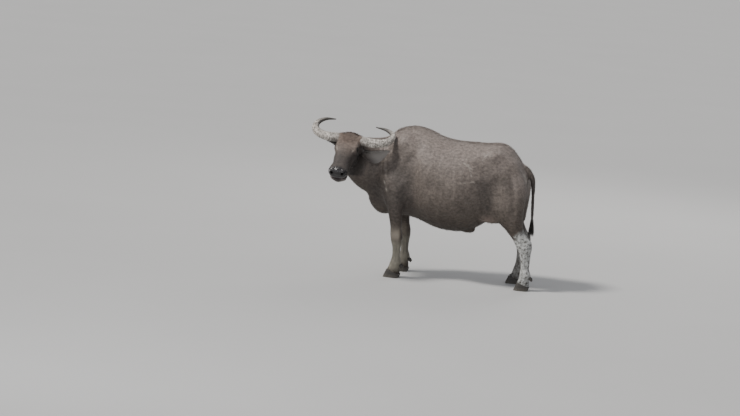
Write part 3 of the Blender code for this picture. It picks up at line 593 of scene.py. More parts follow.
def mouth_line(mesh):
    """The line of the mouth on the skin, in the head's frame."""
    tree = BVHTree.FromPolygons(
        [v.co for v in mesh.vertices], [face.vertices[:] for face in mesh.polygons]
    )
    path = []
    for angle in np.radians(np.linspace(-MOUTH_SWING, MOUTH_SWING, 41)):
        swing = abs(angle) / math.radians(MOUTH_SWING)
        reach = np.array((math.cos(angle), math.sin(angle), 0.0))
        centre = np.array((MOUTH_CENTRE, 0.0, -0.150 + 0.010 * swing**2))
        start = in_head(centre + reach * 0.35)
        hit = tree.ray_cast(Vector(start), Vector(-(TURN @ reach)))[0]
        if hit is not None:
            path.append(head_places(np.array(hit)[None])[0])
    return np.array(path)


# A nostril, from its round opening to the end of its slit, in the head's frame, and the stretch
# under which its width is measured as it shows from the front
NOSTRIL = [
    (0.444, 0.043, -0.088),
    (0.440, 0.052, -0.081),
    (0.430, 0.062, -0.074),
    (0.416, 0.070, -0.071),
]
FRONT_ON = np.array((0.25, 1.0, 1.0))


def sculpt_head(skin):
    mouth = mouth_line(skin.data)
    work = Sculpt(skin.data)
    head = work.head
    near = head_share(work.at) > 0.5

    def stroke(path, width, height, side=1, taper=True):
        work.line(head, mirrored(path, side), width, height, near, taper)

    # Lips either side of the mouth's line, the line itself, and wrinkles at its corners
    half_lip = np.array((0.0, 0.0, 0.010))
    stroke(mouth + half_lip, 0.012, 0.0022)
    stroke(mouth - half_lip, 0.012, 0.0026)
    stroke(mouth, 0.0052, -0.0065)
    for at, side in ((mouth[0], -1), (mouth[-1], 1)):
        for k in range(3):
            step = 0.012 * (k + 1)
            a = at + np.array((-step, 0.0, 0.012 - 0.002 * k))
            b = at + np.array((-step - 0.006, side * 0.002, -0.014))
            stroke([a, 0.5 * (a + b) + np.array((0.004, 0, 0)), b], 0.006, -0.0018)
    tip = HEAD_LENGTH
    turn = np.radians(np.linspace(0, 330, 16))
    for side in (-1, 1):
        # The nostril with its rim, and the fold behind it
        rim = columns(tip - 0.006, 0.050 + 0.017 * np.cos(turn), -0.082 + 0.014 * np.sin(turn))
        stroke(rim, 0.007, 0.0016, side, taper=False)
        slit = mirrored(NOSTRIL, side) * FRONT_ON
        work.line(head * FRONT_ON, slit, 0.0105, -0.008, near & (head[:, 0] > 0.39), taper=False)
        fold = [(tip - 0.045, 0.070, -0.060), (tip - 0.06, 0.078, -0.085)]
        stroke(fold + [(tip - 0.055, 0.080, -0.105)], 0.008, -0.0028, side)
        # Rings of wrinkles on the nose's side
        for k in range(5):
            at = 0.375 - 0.017 * k
            ring = [(at + 0.006, 0.030, -0.030), (at, 0.058, -0.052)]
            ring += [(at - 0.003, 0.072, -0.082), (at + 0.004, 0.074, -0.108)]
            stroke(ring, 0.0075, -0.0009, side)
        # The cheek's bone, the jaw's muscle, the groove over the jaw, and the hollow of the temple
        stroke([(0.19, 0.082, -0.085), (0.26, 0.068, -0.090)], 0.018, 0.004, side)
        stroke([(0.02, 0.088, -0.165), (0.10, 0.09, -0.175)], 0.040, 0.004, side)
        stroke([(0.21, 0.068, -0.135), (0.29, 0.058, -0.140)], 0.020, -0.004, side)
        work.dab(head, (0.078, side * 0.098, -0.060), (0.030, 0.030, 0.026), -0.005, near)
        for crease in LID_CREASES:
            stroke(lid_crease(*crease), 0.0042, -0.0016, side)
        # A tear groove in front of the eye
        tear = [(0.157, 0.098, -0.052), (0.175, 0.090, -0.060), (0.195, 0.082, -0.066)]
        stroke(tear, 0.005, -0.002, side)
    # Wrinkles across the forehead
    for k in range(4):
        at = 0.045 + 0.020 * k
        stroke([(at, -0.04, 0.006), (at + 0.004, 0.0, 0.008), (at, 0.04, 0.006)], 0.006, -0.0009)
    work.apply()
    fine = noise(work.head, 0.012, 21)
    work.amount += np.where(head_share(work.at) > 0.5, 0.00045 * fine, 0.0)
    work.apply()
    for side in (-1, 1):
        sculpt_eye(work, side)
        work.head = head_places(work.at)


# Old scratches, pale and thin, as (x, z) on the left flank
SCRATCHES = [
    [(0.302, 0.903), (0.357, 0.914), (0.412, 0.925)],
    [(0.447, 1.084), (0.477, 1.136), (0.522, 1.182)],
    [(0.301, 1.077), (0.345, 1.046), (0.404, 1.017)],
    [(0.326, 1.107), (0.352, 1.050), (0.387, 0.967)],
    [(-0.388, 0.850), (-0.371, 0.809), (-0.356, 0.768)],
    [(0.816, 1.013), (0.833, 0.980), (0.843, 0.946)],
]
SCRATCH_WIDTH = 0.0085

# Painted shade in the hollows of both sides and on the shoulder, arm, neck and chest: centre, radii
# and strength
SHADE_SPOTS = [
    ((0.50, 0.26, 0.86), (0.10, 0.20, 0.26), 0.55),
    ((0.71, 0.20, 0.93), (0.09, 0.15, 0.07), 0.35),
    ((-0.145, 0.22, 0.70), (0.05, 0.15, 0.16), 0.8),
    ((-0.46, 0.10, 0.78), (0.16, 0.16, 0.22), 0.8),
    ((-0.50, 0.12, 1.00), (0.16, 0.14, 0.22), 0.35),
    ((0.538, 0.24, 0.700), (0.030, 0.12, 0.038), 1.0),
    ((-0.25, 0.20, 0.80), (0.23, 0.28, 0.46), 0.85),
]


def blob(places, centre, radii):
    """1 at the centre of an ellipsoid, easing to 0 at its surface."""
    return bump(np.linalg.norm((places - np.array(centre)) / np.array(radii), axis=1))


def leg_marks(x, y, z, wobble):
    """Dried mud on the hind legs, and straw-coloured stockings and paler knees on the forelegs."""
    near = y < 0
    # The mud's upper edge is higher at the rear
    edge = 0.458 + 0.9 * (x - 0.784) + 0.035 * wobble
    behind = (x > 0.55) & (z < 0.70) & ~((np.abs(y) < 0.06) & (z > 0.48))
    mud = (1 - ease(z, edge - 0.035, edge + 0.03)) * np.where(near, 1.0, 0.45)
    fore = (x < -0.05) & (x > -0.50) & (z < 0.75)
    stocking = (1 - ease(z + 0.03 * wobble, 0.30, 0.37)) * ease(z, 0.04, 0.11)
    knee = np.exp(-(((z - 0.385 + 0.01 * wobble) / 0.055) ** 2)) * (1 - ease(x, -0.225, -0.195))
    return {
        "mud": np.where(behind, mud, 0.0),
        "straw": np.where(fore, stocking * np.where(near, 1.0, 0.75), 0.0),
        "knee": np.where(fore, knee * np.where(near, 1.0, 0.4), 0.0),
    }


def body_marks(q, facing, body, wobble):
    """Pink groin, a back and rump paler by sun-bleaching and painted light, an underside darkened
    partly by painted shade, painted shade in hollows, dark tail, scratches.
    """
    x, y, z = q.T
    rump, shade, scratch = np.zeros((3, len(q)))
    for side in (-1, 1):
        # Painted light on the rump and over the hips
        rump += blob(q, (0.80, side * 0.13, 0.98), (0.16, 0.22, 0.26))
        rump += 0.7 * blob(q, (0.60, side * 0.22, 1.10), (0.18, 0.17, 0.15))
        # Painted shade in the hollows and on the shoulder, arm, neck and chest
        for centre, radii, strength in SHADE_SPOTS:
            shade = np.maximum(shade, strength * blob(q, mirrored(centre, side), radii))
    groin = sum(blob(q, (0.56, side * 0.13, 0.60), (0.13, 0.14, 0.075)) for side in (-1, 1))
    # A paler top: partly sun-bleached hide, partly painted light where the skin faces up
    top = ease(facing[:, 2] + 0.20 * wobble, -0.25, 0.85) * ease(z, 0.75, 1.12) * body
    top = np.maximum(top, np.clip(1.3 * rump * (1 + 0.3 * wobble), 0, 1) * body)
    top *= np.where(x > 0.80, ease(np.abs(y) + 0.4 * ease(z, 1.05, 1.15), 0.03, 0.07), 1.0)
    # The tail's own dark colour, laid with the painted shade
    tail = (x > 0.86) & (np.abs(y) < 0.05)
    tail = np.where(tail, 1.0 - ease(z, 0.90, 1.06), 0.0) * ease(z, 0.55, 0.58)
    for path in SCRATCHES:
        middle = path[1]
        index = np.flatnonzero((np.hypot(x - middle[0], z - middle[1]) < 0.09) & (y < -0.05))
        gap = distance_to(q[index][:, [0, 2]], path)[0]
        scratch[index] = np.maximum(scratch[index], bump(gap / SCRATCH_WIDTH))
    return {
        "pink": np.clip(1.3 * groin, 0, 1) * (1 - ease(facing[:, 2], -0.15, 0.5)),
        "top": top,
        # Darker lower down: partly painted shade
        "under": (1 - ease(z + 0.05 * facing[:, 2] + 0.03 * wobble, 0.44, 0.86)) * body,
        "shade": np.maximum(shade, tail) * body,
        "scratch": scratch * ease(noise(q + SHIFT, 0.02, 55), -0.55, 0.1) * body,
    }


def face_marks(points, head, wobble):
    """Wet nose, lips, the line of the mouth, streaks by the eyes, pale brow, painted shade on the
    jaw, and dark skin round the eyes and in the nostrils deepened by painted shade.
    """
    places = head_places(points)
    f, l, o = places.T
    wet = ease(f, 0.388, 0.412) * ease(o, -0.144, -0.136)
    wet *= 1 - ease(o + 0.35 * np.abs(l), -0.040, -0.022)
    lip = np.exp(-(((o + 0.152) / 0.016) ** 2)) * ease(f, 0.31, 0.35)
    streak, dark = np.zeros((2, len(points)))
    index = np.flatnonzero(head > 0.3)
    near = places[index]
    for side in (-1, 1):
        path = [(0.100, 0.093, -0.018), (0.140, 0.084, -0.018), (0.19, 0.064, -0.028)]
        gap = distance_to(near, mirrored(path, side))[0]
        streak[index] = np.maximum(streak[index], bump(gap / 0.011))
        # Near-black round the eyes and in the nostrils: dark bare skin deepened by painted shade
        eye = np.linalg.norm(near - mirrored(EYE_PLACE, side), axis=1)
        dark[index] = np.maximum(dark[index], 1 - ease(eye, 0.026, 0.040))
        gap, along = distance_to(near * FRONT_ON, mirrored(NOSTRIL, side) * FRONT_ON)
        dark[index] = np.maximum(dark[index], 1 - ease(gap / (0.0125 - 0.0085 * along), 0.7, 1.1))
    return {
        "nose": np.clip(wet, 0, 1) * head,
        "lip": np.clip(lip * ease(np.abs(l), 0.022, 0.045), 0, 1) * head,
        "mouth": np.exp(-(((o + 0.150) / 0.007) ** 2)) * ease(f, 0.33, 0.38) * head,
        "streak": streak * (0.6 + 0.4 * noise(points, 0.01, 61)),
        "dark": dark,
        "brow": head * (1 - ease(f, 0.02, 0.32)) * ease(o, -0.075, -0.005),
        # Painted shade on the lower part of the head
        "jaw": head * (1 - ease(o + 0.01 * wobble, -0.15, -0.08)),
        "chin": head * (1 - ease(o, -0.19, -0.165)) * ease(f, 0.30, 0.36),
    }


def inside_ears(points, facing):
    """1 on the paler skin in the cups of the ears; it fades towards the root and one edge, partly as
    painted shade from the horn.
    """
    inner = np.zeros(len(points))
    for side in EARS:
        along, across, out = ear_places(points, side)
        opening = TURN @ ear_frame(side)[3]
        near = (along > 0.05) & (np.abs(across) < 0.12) & (np.abs(out) < 0.09)
        # The fade towards the root and one edge is partly painted shade of the horn
        cup = ease(facing @ opening, 0.0, 0.35) * ease(along + 4.0 * across, 0.15, 0.55)
        inner = np.maximum(inner, np.where(near, cup, 0.0))
    return inner


def marks(points, facing):
    """Each marking's strength at points of the skin, from where they are and how they face."""
    q = own(points)
    head, ear = head_share(points) * near_node("head", points, 0.035), ear_share(points)
    wobble = noise(points, 0.05, 31) + 0.5 * noise(points, 0.018, 32)
    made = {"head": head, "ear": ear, "inner": inside_ears(points, facing) * ear}
    made.update(leg_marks(*q.T, wobble))
    made.update(body_marks(q, facing, 1 - head, wobble))
    made.update(face_marks(points, head, wobble))
    return made


def write_marks(mesh, values):
    for name, strength in values.items():
        attribute = mesh.attributes.new(name, "FLOAT", "POINT")
        attribute.data.foreach_set("value", strength.astype(np.float32))


class Paint:
    """Builds a material's nodes. An input is another node's output, a number or a tuple."""

    def __init__(self, name, roughness=0.6):
        self.material = bpy.data.materials.new(name)
        self.material.use_nodes = True
        self.nodes = self.material.node_tree.nodes
        self.links = self.material.node_tree.links
        self.shader = self.nodes["Principled BSDF"]
        self.shader.inputs["Roughness"].default_value = roughness
        self.place = self.nodes.new("ShaderNodeTexCoord").outputs["Object"]

    def link(self, value, socket):
        """Links the socket to another node, or sets its number, vector or colour."""
        if hasattr(value, "is_linked"):
            self.links.new(value, socket)
        elif isinstance(value, tuple):
            socket.default_value = (*value, 1.0)[: len(socket.default_value)]
        else:
            socket.default_value = value

    def node(self, kind, inputs, **settings):
        """The outputs of a new node of this kind, whose inputs are given by name or number."""
        made = self.nodes.new("ShaderNode" + kind)
        for key, value in settings.items():
            setattr(made, key, value)
        for key, value in inputs.items():
            self.link(value, made.inputs[key])
        return made.outputs

    def stretched(self, **mapping):
        """The place that a texture is read at, stretched or turned where either is given."""
        mapping = {key: value for key, value in mapping.items() if value is not None}
        if not mapping:
            return self.place
        return self.node("Mapping", {"Vector": self.place, **mapping})["Vector"]

    def noise(self, scale, detail=3.0, stretch=None, turn=None, rough=0.55):
        vector = self.stretched(Scale=stretch, Rotation=turn)
        inputs = {"Vector": vector, "Scale": scale, "Detail": detail, "Roughness": rough}
        return self.node("TexNoise", inputs)["Fac"]

    def cells(self, scale, stretch=None):
        """The distance to the nearest edge of a pattern of cells."""
        inputs = {"Vector": self.stretched(Scale=stretch), "Scale": scale}
        return self.node("TexVoronoi", inputs, feature="DISTANCE_TO_EDGE")["Distance"]

    def attribute(self, name):
        return self.node("Attribute", {}, attribute_name=name)["Fac"]

    def math(self, operation, a, b=0.0):
        return self.node("Math", {0: a, 1: b}, operation=operation)[0]

    def times(self, a, b):
        return self.math("MULTIPLY", a, b)

    def step(self, value, low, high):
        """0 at low and 1 at high."""
        inputs = {"Value": value, "From Min": low, "From Max": high}
        return self.node("MapRange", inputs, interpolation_type="SMOOTHSTEP")["Result"]

    def mix(self, share, a, b):
        """From colour a to colour b."""
        return self.node("Mix", {"Factor": share, 6: a, 7: b}, data_type="RGBA")[2]

    def blend(self, share, a, b):
        """From number a to number b."""
        return self.node("Mix", {"Factor": share, 2: a, 3: b}, data_type="FLOAT")[0]

    def scaled(self, colour, factor):
        return self.node("VectorMath", {0: colour, "Scale": factor}, operation="SCALE")["Vector"]

    def raise_by(self, height, distance, strength=1.0, under=None):
        inputs = {"Height": height, "Distance": distance, "Strength": strength}
        if under is not None:
            inputs["Normal"] = under
        return self.node("Bump", inputs)["Normal"]

    def finish(self, colour, roughness=None, normal=None, **more):
        """Sets the shader's sockets, whose names have _ for a space, and returns the material."""
        sockets = {"Base Color": colour, "Roughness": roughness, "Normal": normal}
        for name, value in {**sockets, **more}.items():
            if value is not None:
                self.link(value, self.shader.inputs[name.replace("_", " ")])
        return self.material


# The hide's two main tones, its back paler from sun-bleaching and painted light, and dust, in linear
# light
HIDE_TONES = [(0.118, 0.097, 0.083), (0.162, 0.134, 0.115)]
BLEACHED_AND_LIT = (0.275, 0.232, 0.208)
DUSTY = (0.180, 0.155, 0.138)
STRAW = (0.315, 0.295, 0.238)
MUD_TONES = [(0.120, 0.118, 0.110), (0.60, 0.605, 0.585)]

# Markings in the order in which they are laid, each with its strength and colour: under the dust
# and over it, over the mottling, over the stockings, and over the mud
# The darker underside is partly painted shade
UNDERSIDE = [("under", 0.85, (0.056, 0.042, 0.031))]
SHADE_AND_HEAD_TONES = [
    # painted shade in the hollows, with the tail's own dark colour
    ("shade", 0.75, (0.046, 0.039, 0.036)),
    ("head", 0.85, (0.052, 0.043, 0.039)),
    # painted shade on the jaw
    ("jaw", 0.75, (0.022, 0.018, 0.016)),
    ("brow", 0.9, (0.265, 0.205, 0.170)),
]
OVER_MOTTLE = [
    ("streak", 0.85, (0.50, 0.45, 0.385)),
    ("ear", 0.7, (0.060, 0.053, 0.049)),
    ("inner", 0.95, (0.275, 0.257, 0.243)),
    ("pink", 0.85, (0.30, 0.225, 0.187)),
]
OVER_STRAW = [("knee", 0.9, (0.350, 0.305, 0.245)), ("scratch", 0.8, (0.44, 0.40, 0.355))]
LIPS = [("chin", 1.0, (0.130, 0.112, 0.100)), ("lip", 0.8, (0.30, 0.265, 0.245))]
BARE = [
    ("mouth", 1.0, (0.035, 0.020, 0.023)),
    ("nose", 1.0, (0.020, 0.018, 0.019)),
    # near-black round the eyes and in the nostrils: dark bare skin deepened by painted shade
    ("dark", 1.0, (0.010, 0.008, 0.007)),
]


def hide_colour(paint, lift):
    """The hide's colour with its markings, for the skin and, a little lifted, for the coat."""

    def tone(colour):
        return tuple(part * lift for part in colour)

    def marked(colour, rows):
        for name, strength, new in rows:
            colour = paint.mix(paint.times(paint.attribute(name), strength), colour, new)
        return colour

    def toned(colour, rows):
        return marked(colour, [(name, share, tone(new)) for name, share, new in rows])

    patches = paint.step(paint.noise(7.0, 4.0, rough=0.6), 0.30, 0.70)
    streaks = paint.noise(26.0, 3.0, stretch=(0.6, 1.0, 3.2), turn=LEAN)
    colour = paint.mix(patches, *map(tone, HIDE_TONES))
    # The top's paler tone stands for sun-bleaching and, in part, painted light from above
    top_share = paint.blend(paint.step(streaks, 0.3, 0.7), 0.75, 1.0)
    colour = paint.mix(paint.times(paint.attribute("top"), top_share), colour, tone(BLEACHED_AND_LIT))
    colour = toned(colour, UNDERSIDE)
    colour = paint.mix(paint.times(paint.step(streaks, 0.50, 0.75), 0.28), colour, tone(DUSTY))
    colour = toned(colour, SHADE_AND_HEAD_TONES)
    mottle = paint.noise(66.0, 4.0, stretch=(0.6, 1.0, 0.8), turn=LEAN, rough=0.72)
    colour = paint.scaled(colour, paint.blend(paint.step(mottle, 0.36, 0.64), 0.74, 1.26))
    colour = toned(colour, OVER_MOTTLE)
    faded = paint.step(paint.noise(40.0, 4.0, stretch=(1.0, 1.0, 0.35)), 0.3, 0.7)
    straw = paint.times(paint.attribute("straw"), paint.blend(faded, 0.55, 0.85))
    colour = toned(paint.mix(straw, colour, tone(STRAW)), OVER_STRAW)
    blot, speck = paint.noise(48.0, 5.0, rough=0.75), paint.noise(260.0, 3.0, rough=0.7)
    crust = paint.math("ADD", blot, paint.times(speck, 0.5))
    mud = paint.times(paint.attribute("mud"), paint.step(crust, 0.58, 0.68))
    colour = paint.mix(mud, colour, paint.mix(paint.step(crust, 0.62, 0.84), *MUD_TONES))
    return marked(toned(colour, LIPS), BARE), mud


def hide_paint():
    paint = Paint("hide_skin", 0.62)
    colour, mud = hide_colour(paint, 1.0)
    pores = paint.noise(420.0, 2.0)
    folds = paint.step(paint.cells(150.0, stretch=(1.0, 1.0, 0.7)), 0.0, 0.12)
    hair = paint.noise(120.0, 3.0, stretch=(0.22, 1.0, 1.3), turn=(0, math.radians(-18), 0))
    pad = paint.step(paint.cells(260.0), 0.0, 0.22)
    bare, dark = paint.attribute("nose"), paint.attribute("dark")
    bumped = paint.math("MAXIMUM", paint.blend(bare, folds, pad), dark)
    bumped = paint.raise_by(bumped, 0.0006, 0.35)
    bumped = paint.raise_by(hair, 0.0014, 0.5, bumped)
    bumped = paint.raise_by(pores, 0.0005, 0.4, bumped)
    bumped = paint.raise_by(mud, 0.002, 0.7, bumped)
    rough = paint.blend(paint.step(hair, 0.3, 0.7), 0.44, 0.62)
    for share, new in ((mud, 0.9), (bare, 0.20), (dark, 0.55)):
        rough = paint.blend(share, rough, new)
    more = {"Specular_IOR_Level": 0.45, "Sheen_Weight": 0.10, "Sheen_Roughness": 0.45}
    return paint.finish(colour, rough, bumped, **more)


def coat_paint():
    paint = Paint("hide_coat", 0.55)
    colour = hide_colour(paint, 1.12)[0]
    strand = paint.times(paint.step(paint.noise(900.0, 1.0), 0.40, 0.75), 0.30)
    colour = paint.mix(strand, colour, (0.05, 0.042, 0.038))
    more = {"Specular_IOR_Level": 0.4, "Sheen_Weight": 0.10, "Sheen_Roughness": 0.4}
    return paint.finish(colour, 0.55, **more)


class Coat:
    """The skin as a ground for hair: its triangles, and its markings at any place on them."""

    def __init__(self, made, values):
        mesh = made.data
        mesh.calc_loop_triangles()
        corners = np.empty(len(mesh.loop_triangles) * 3, np.int32)
        mesh.loop_triangles.foreach_get("vertices", corners)
        self.corners = corners.reshape(-1, 3)
        self.at, self.facing, self.values = positions(mesh), normals(mesh), values
        a, b, c = (self.at[self.corners[:, k]] for k in range(3))
        self.area = 0.5 * np.linalg.norm(np.cross(b - a, c - a), axis=1)
        self.middle = self.read(self.at)
        self.middle_facing = unit(self.read(self.facing))
        self.middle_values = {name: self.read(value) for name, value in values.items()}

    def read(self, field):
        return field[self.corners].mean(axis=1)

    def scatter(self, density, rng):
        """Random places, as many a square metre as density says of points, normals and marks."""
        wanted = self.area * density(self.middle, self.middle_facing, self.middle_values)
        each = np.floor(wanted + rng.random(len(wanted))).astype(int)
        index = np.repeat(np.arange(len(wanted)), each)
        u, v = rng.random(len(index)), rng.random(len(index))
        flip = u + v > 1
        u, v = np.where(flip, 1 - u, u), np.where(flip, 1 - v, v)
        share = np.stack([1 - u - v, u, v], axis=1)
        corners = self.corners[index]

        def at_places(field):
            if field.ndim == 2:
                return np.einsum("nk,nkd->nd", share, field[corners])
            return np.einsum("nk,nk->n", share, field[corners])

        values = {name: at_places(value) for name, value in self.values.items()}
        return at_places(self.at), unit(at_places(self.facing)), values


def lie_of_coat(points, facing, values):
    """The direction that the hair points in, along the skin."""
    x, y, z = own(points).T
    _, left, out = head_places(points).T
    flow = columns(1.0, 0.0, -0.30 - 0.5 * ease(1.15 - z, 0.0, 0.6))
    down = columns(0.12, 0.04 * np.sign(y), -1.0)
    fore = (x < -0.10) & (z < 0.74)
    hind = (x > 0.46) & (z < 0.86)
    share = np.where(hind, 1 - ease(z, 0.62, 0.86), 0.0)
    share = np.where(fore, 1 - ease(z, 0.60, 0.74), share)[:, None]
    flow = flow * (1 - share) + down * share
    flow[(x > 0.84) & (z > 0.56) & (np.abs(y) < 0.05)] = (0.05, 0.0, -1.0)
    flow[(x < -0.34) & (z > 0.70)] = (0.8, 0.30, -0.75)
    face = TURN @ np.array((0.9, 0.0, -0.15))
    sideways = np.outer(np.sign(left) * 0.35 * ease(-out, 0.02, 0.12), SIDE)
    flow = np.where(values["head"][:, None] > 0.5, face + sideways, flow)
    for name in EARS:
        near = (values["ear"] > 0.3) & (ear_places(points, name)[0] > 0.05)
        near &= (left > 0) if name == "left" else (left < 0)
        flow[near] = TURN @ ear_frame(name)[1]
    swirl = 0.35 * noise(points, 0.07, 71) + 0.2 * noise(points, 0.02, 72)
    flow = unit(flow - facing * np.sum(flow * facing, axis=1, keepdims=True))
    return unit(flow + np.cross(facing, flow) * swirl[:, None])


def unwrap(points, facing, values):
    """Each point's place on a flat unwrap of the skin: six charts for each part of the body, one
    for each way that its surface faces. The trunk has the upper half, and the rest the lower."""
    q = own(points)
    x, y, z = q.T
    low_leg = z < 0.62
    regions = [values["head"] > 0.5]
    regions += [low_leg & at & side for at in (x < 0.1, x > 0.5) for side in (y < 0, y >= 0)]
    regions += [(x > 0.86) & (np.abs(y) < 0.06) & (z > 0.42), values["ear"] > 0.3]
    part = np.zeros(len(points), int)
    for number, region in enumerate(regions, start=1):
        part = np.where(region, number, part)
    axis = np.argmax(np.abs(facing), axis=1)
    away = np.take_along_axis(facing, axis[:, None], axis=1)[:, 0] > 0
    chart = axis * 2 + away
    flats = np.stack([q[:, [1, 2]], q[:, [0, 2]], q[:, [0, 1]]])
    flat = flats[axis, np.arange(len(q))]
    low = np.array([(-0.7, -0.02), (-1.1, -0.02), (-1.1, -0.7)])[axis]
    span = np.array([(1.4, 1.4), (2.2, 1.4), (2.2, 1.4)])[axis]
    local = np.clip((flat - low) / span, 0.0, 1.0) * 0.96 + 0.02
    small = (part - 1) * 6 + chart
    big = (part == 0)[:, None]
    size = np.where(big, (1 / 3, 1 / 4), (1 / 8, 1 / 12))
    trunk = columns(chart % 3 / 3, 0.5 + chart // 3 * 0.25)
    rest = columns(small % 8 / 8, small // 8 / 12)
    return np.where(big, trunk, rest) + local * size


def sheet_mesh(name, points, polygons):
    """A mesh from an array of points and arrays of polygons with as many corners each."""
    mesh = bpy.data.meshes.new(name)
    mesh.vertices.add(len(points))
    mesh.vertices.foreach_set("co", points.astype(np.float32).ravel())
    loops = np.concatenate([group.ravel() for group in polygons]).astype(np.int32)
    sizes = np.concatenate([np.full(len(group), group.shape[1]) for group in polygons])
    mesh.loops.add(len(loops))
    mesh.loops.foreach_set("vertex_index", loops)
    mesh.polygons.add(len(sizes))
    mesh.polygons.foreach_set("loop_start", (np.cumsum(sizes) - sizes).astype(np.int32))
    mesh.polygons.foreach_set("loop_total", sizes.astype(np.int32))
    mesh.update(calc_edges=True)
    return mesh


def put_bake_patches(mesh, places, spots):
    """The bake's own UV map: each hair is a small patch, of these spots, at its root's place."""
    uv = (places[:, None] + np.array(spots, float)[None]).reshape(-1, 2)
    loops = np.empty(len(mesh.loops), np.int32)
    mesh.loops.foreach_get("vertex_index", loops)
    layer = mesh.uv_layers.new(name="OFBake")
    layer.data.foreach_set("uv", uv[loops].astype(np.float32).ravel())


def ribbon_spots(rows):
    """A strand's patch, with three points across it and this many rows along it."""
    return [((c - 1) * PATCH, 2 * PATCH * k / (rows - 1)) for k in range(rows) for c in range(3)]


def tufts(name, coat, density, length, width, lift, paint, seed, spread=0.15, flat=0.6):
    """A coat piece: thin tapering tufts that lie along the skin, their roots just under it.
    length, width and lift are in metres, and flat is how far the tips bend back to the skin."""
    rng = np.random.default_rng(seed)
    at, facing, values = coat.scatter(density, rng)
    count = len(at)
    flow = lie_of_coat(at, facing, values)
    across = np.cross(facing, flow)
    flow = unit(flow + across * rng.normal(0.0, spread, count)[:, None])
    across = np.cross(facing, flow)

    def sized(size, low, high):
        value = size(at, values) if callable(size) else np.full(count, size)
        return (value * rng.uniform(low, high, count))[:, None]

    long, wide, high = sized(length, 0.65, 1.25), sized(width, 0.7, 1.25), sized(lift, 0.5, 1.4)
    across = unit(across + facing * rng.normal(0.0, 0.25, count)[:, None])
    sideways = across * rng.normal(0.0, 0.12, count)[:, None]
    root = at - facing * ROOT_DEPTH
    middle = root + (flow + sideways * 0.5) * long * 0.5 + facing * (ROOT_DEPTH + high)
    tip = root + (flow + sideways) * long + facing * (ROOT_DEPTH + high * (1.6 - flat))
    half = across * wide * 0.5
    corners = [root - half * 0.7, root + half * 0.7, middle - half, middle + half, tip]
    points = np.stack(corners, axis=1).reshape(-1, 3)
    base = (np.arange(count) * 5)[:, None]
    mesh = sheet_mesh(name, points, [base + (0, 1, 3, 2), base + (2, 3, 4)])
    write_marks(mesh, {mark: np.repeat(value, 5) for mark, value in values.items()})
    spots = np.array([(-1, 0), (1, 0), (-1, 1), (1, 1), (0, 2)]) * PATCH
    put_bake_patches(mesh, unwrap(at, facing, values), spots)
    made = add_object(name, mesh, paint)
    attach(made, "root")


def grow_coat(coat, paint):
    """The coat's pieces: short and flat on the trunk and legs, longer where it breaks the outline.
    Each piece has a density in tufts a square metre, from places, normals and markings."""

    def grow(name, density, seed, length, width, lift, **more):
        tufts(name, coat, density, length, width, lift, paint, seed, **more)

    def leg(at):
        return 1 - ease(at[:, 2], 0.42, 0.62)

    def off_head(values):
        return 1 - values["head"]

    def haired(values):
        bare = values["nose"] + values["dark"] + values["mouth"] + 0.7 * values["pink"]
        return 1 - np.clip(bare, 0, 1)

    def trunk(side, rear):
        def density(at, facing, values):
            q = own(at)
            here = (q[:, 1] * side > 0) & ((q[:, 0] > 0.12) == rear)
            thick = 34000.0 + 22000.0 * leg(at) - 16000.0 * values["under"] * (1 - leg(at))
            thick = np.where(here, thick, 0.0) * off_head(values) * (1 - values["ear"])
            return thick * haired(values)

        return density

    for seed, (side, rear) in enumerate([(-1, False), (-1, True), (1, False), (1, True)]):
        grow(
            f"coat_{'left' if side < 0 else 'right'}_{'rear' if rear else 'front'}",
            trunk(side, rear),
            seed=11 + seed,
            length=lambda at, values: 0.021 - 0.010 * leg(at),
            width=lambda at, values: 0.00125 - 0.0003 * leg(at),
            lift=lambda at, values: 0.0015 - 0.0007 * leg(at),
        )

    def crest(at, facing, values):
        q = own(at)
        middle = np.exp(-((q[:, 1] / 0.05) ** 2)) * ease(facing[:, 2], 0.5, 0.9)
        return 60000.0 * middle * off_head(values) * ease(q[:, 2], 1.0, 1.1)

    grow("coat_crest", crest, 21, length=0.030, width=0.0014, lift=0.0042, spread=0.25, flat=0.1)

    def below(at, facing, values):
        x, y, z = own(at).T
        brisket = ease(-x, 0.30, 0.42) * ease(z, 0.5, 0.56) * (1 - ease(z, 0.85, 0.95))
        belly = ease(-facing[:, 2], 0.5, 0.9) * ease(z, 0.40, 0.44)
        return (26000.0 * brisket + 18000.0 * belly) * off_head(values) * haired(values)

    grow("coat_under", below, 22, length=0.027, width=0.0012, lift=0.0045, spread=0.25, flat=0.2)

    def coronets(at, facing, values):
        z = at[:, 2]
        return 160000.0 * ease(z, 0.030, 0.045) * (1 - ease(z, 0.075, 0.105))

    grow("coat_coronets", coronets, 26, length=0.017, width=0.0011, lift=0.0022, flat=0.3)

    def face(at, facing, values):
        thick = 110000.0 * values["head"] * (1 - values["ear"]) * haired(values)
        return thick * (1 - ease(head_places(at)[:, 0], 0.385, 0.42))

    def face_hair(at, values):
        return 0.0115 - 0.0055 * ease(head_places(at)[:, 0], 0.15, 0.35)

    grow("coat_face", face, 23, length=face_hair, width=0.0008, lift=0.0008, spread=0.12)

    def poll(at, facing, values):
        f, l, o = head_places(at).T
        near = np.exp(-((l / 0.065) ** 2)) * (1 - ease(f, 0.03, 0.12)) * ease(f, -0.14, -0.08)
        return 110000.0 * near * ease(o, -0.11, -0.04)

    grow("coat_poll", poll, 24, length=0.026, width=0.0012, lift=0.0040, spread=0.35, flat=0.1)

    def ears(at, facing, values):
        return 90000.0 * values["ear"]

    grow("coat_ears", ears, 25, length=0.012, width=0.0008, lift=0.0010, spread=0.2)


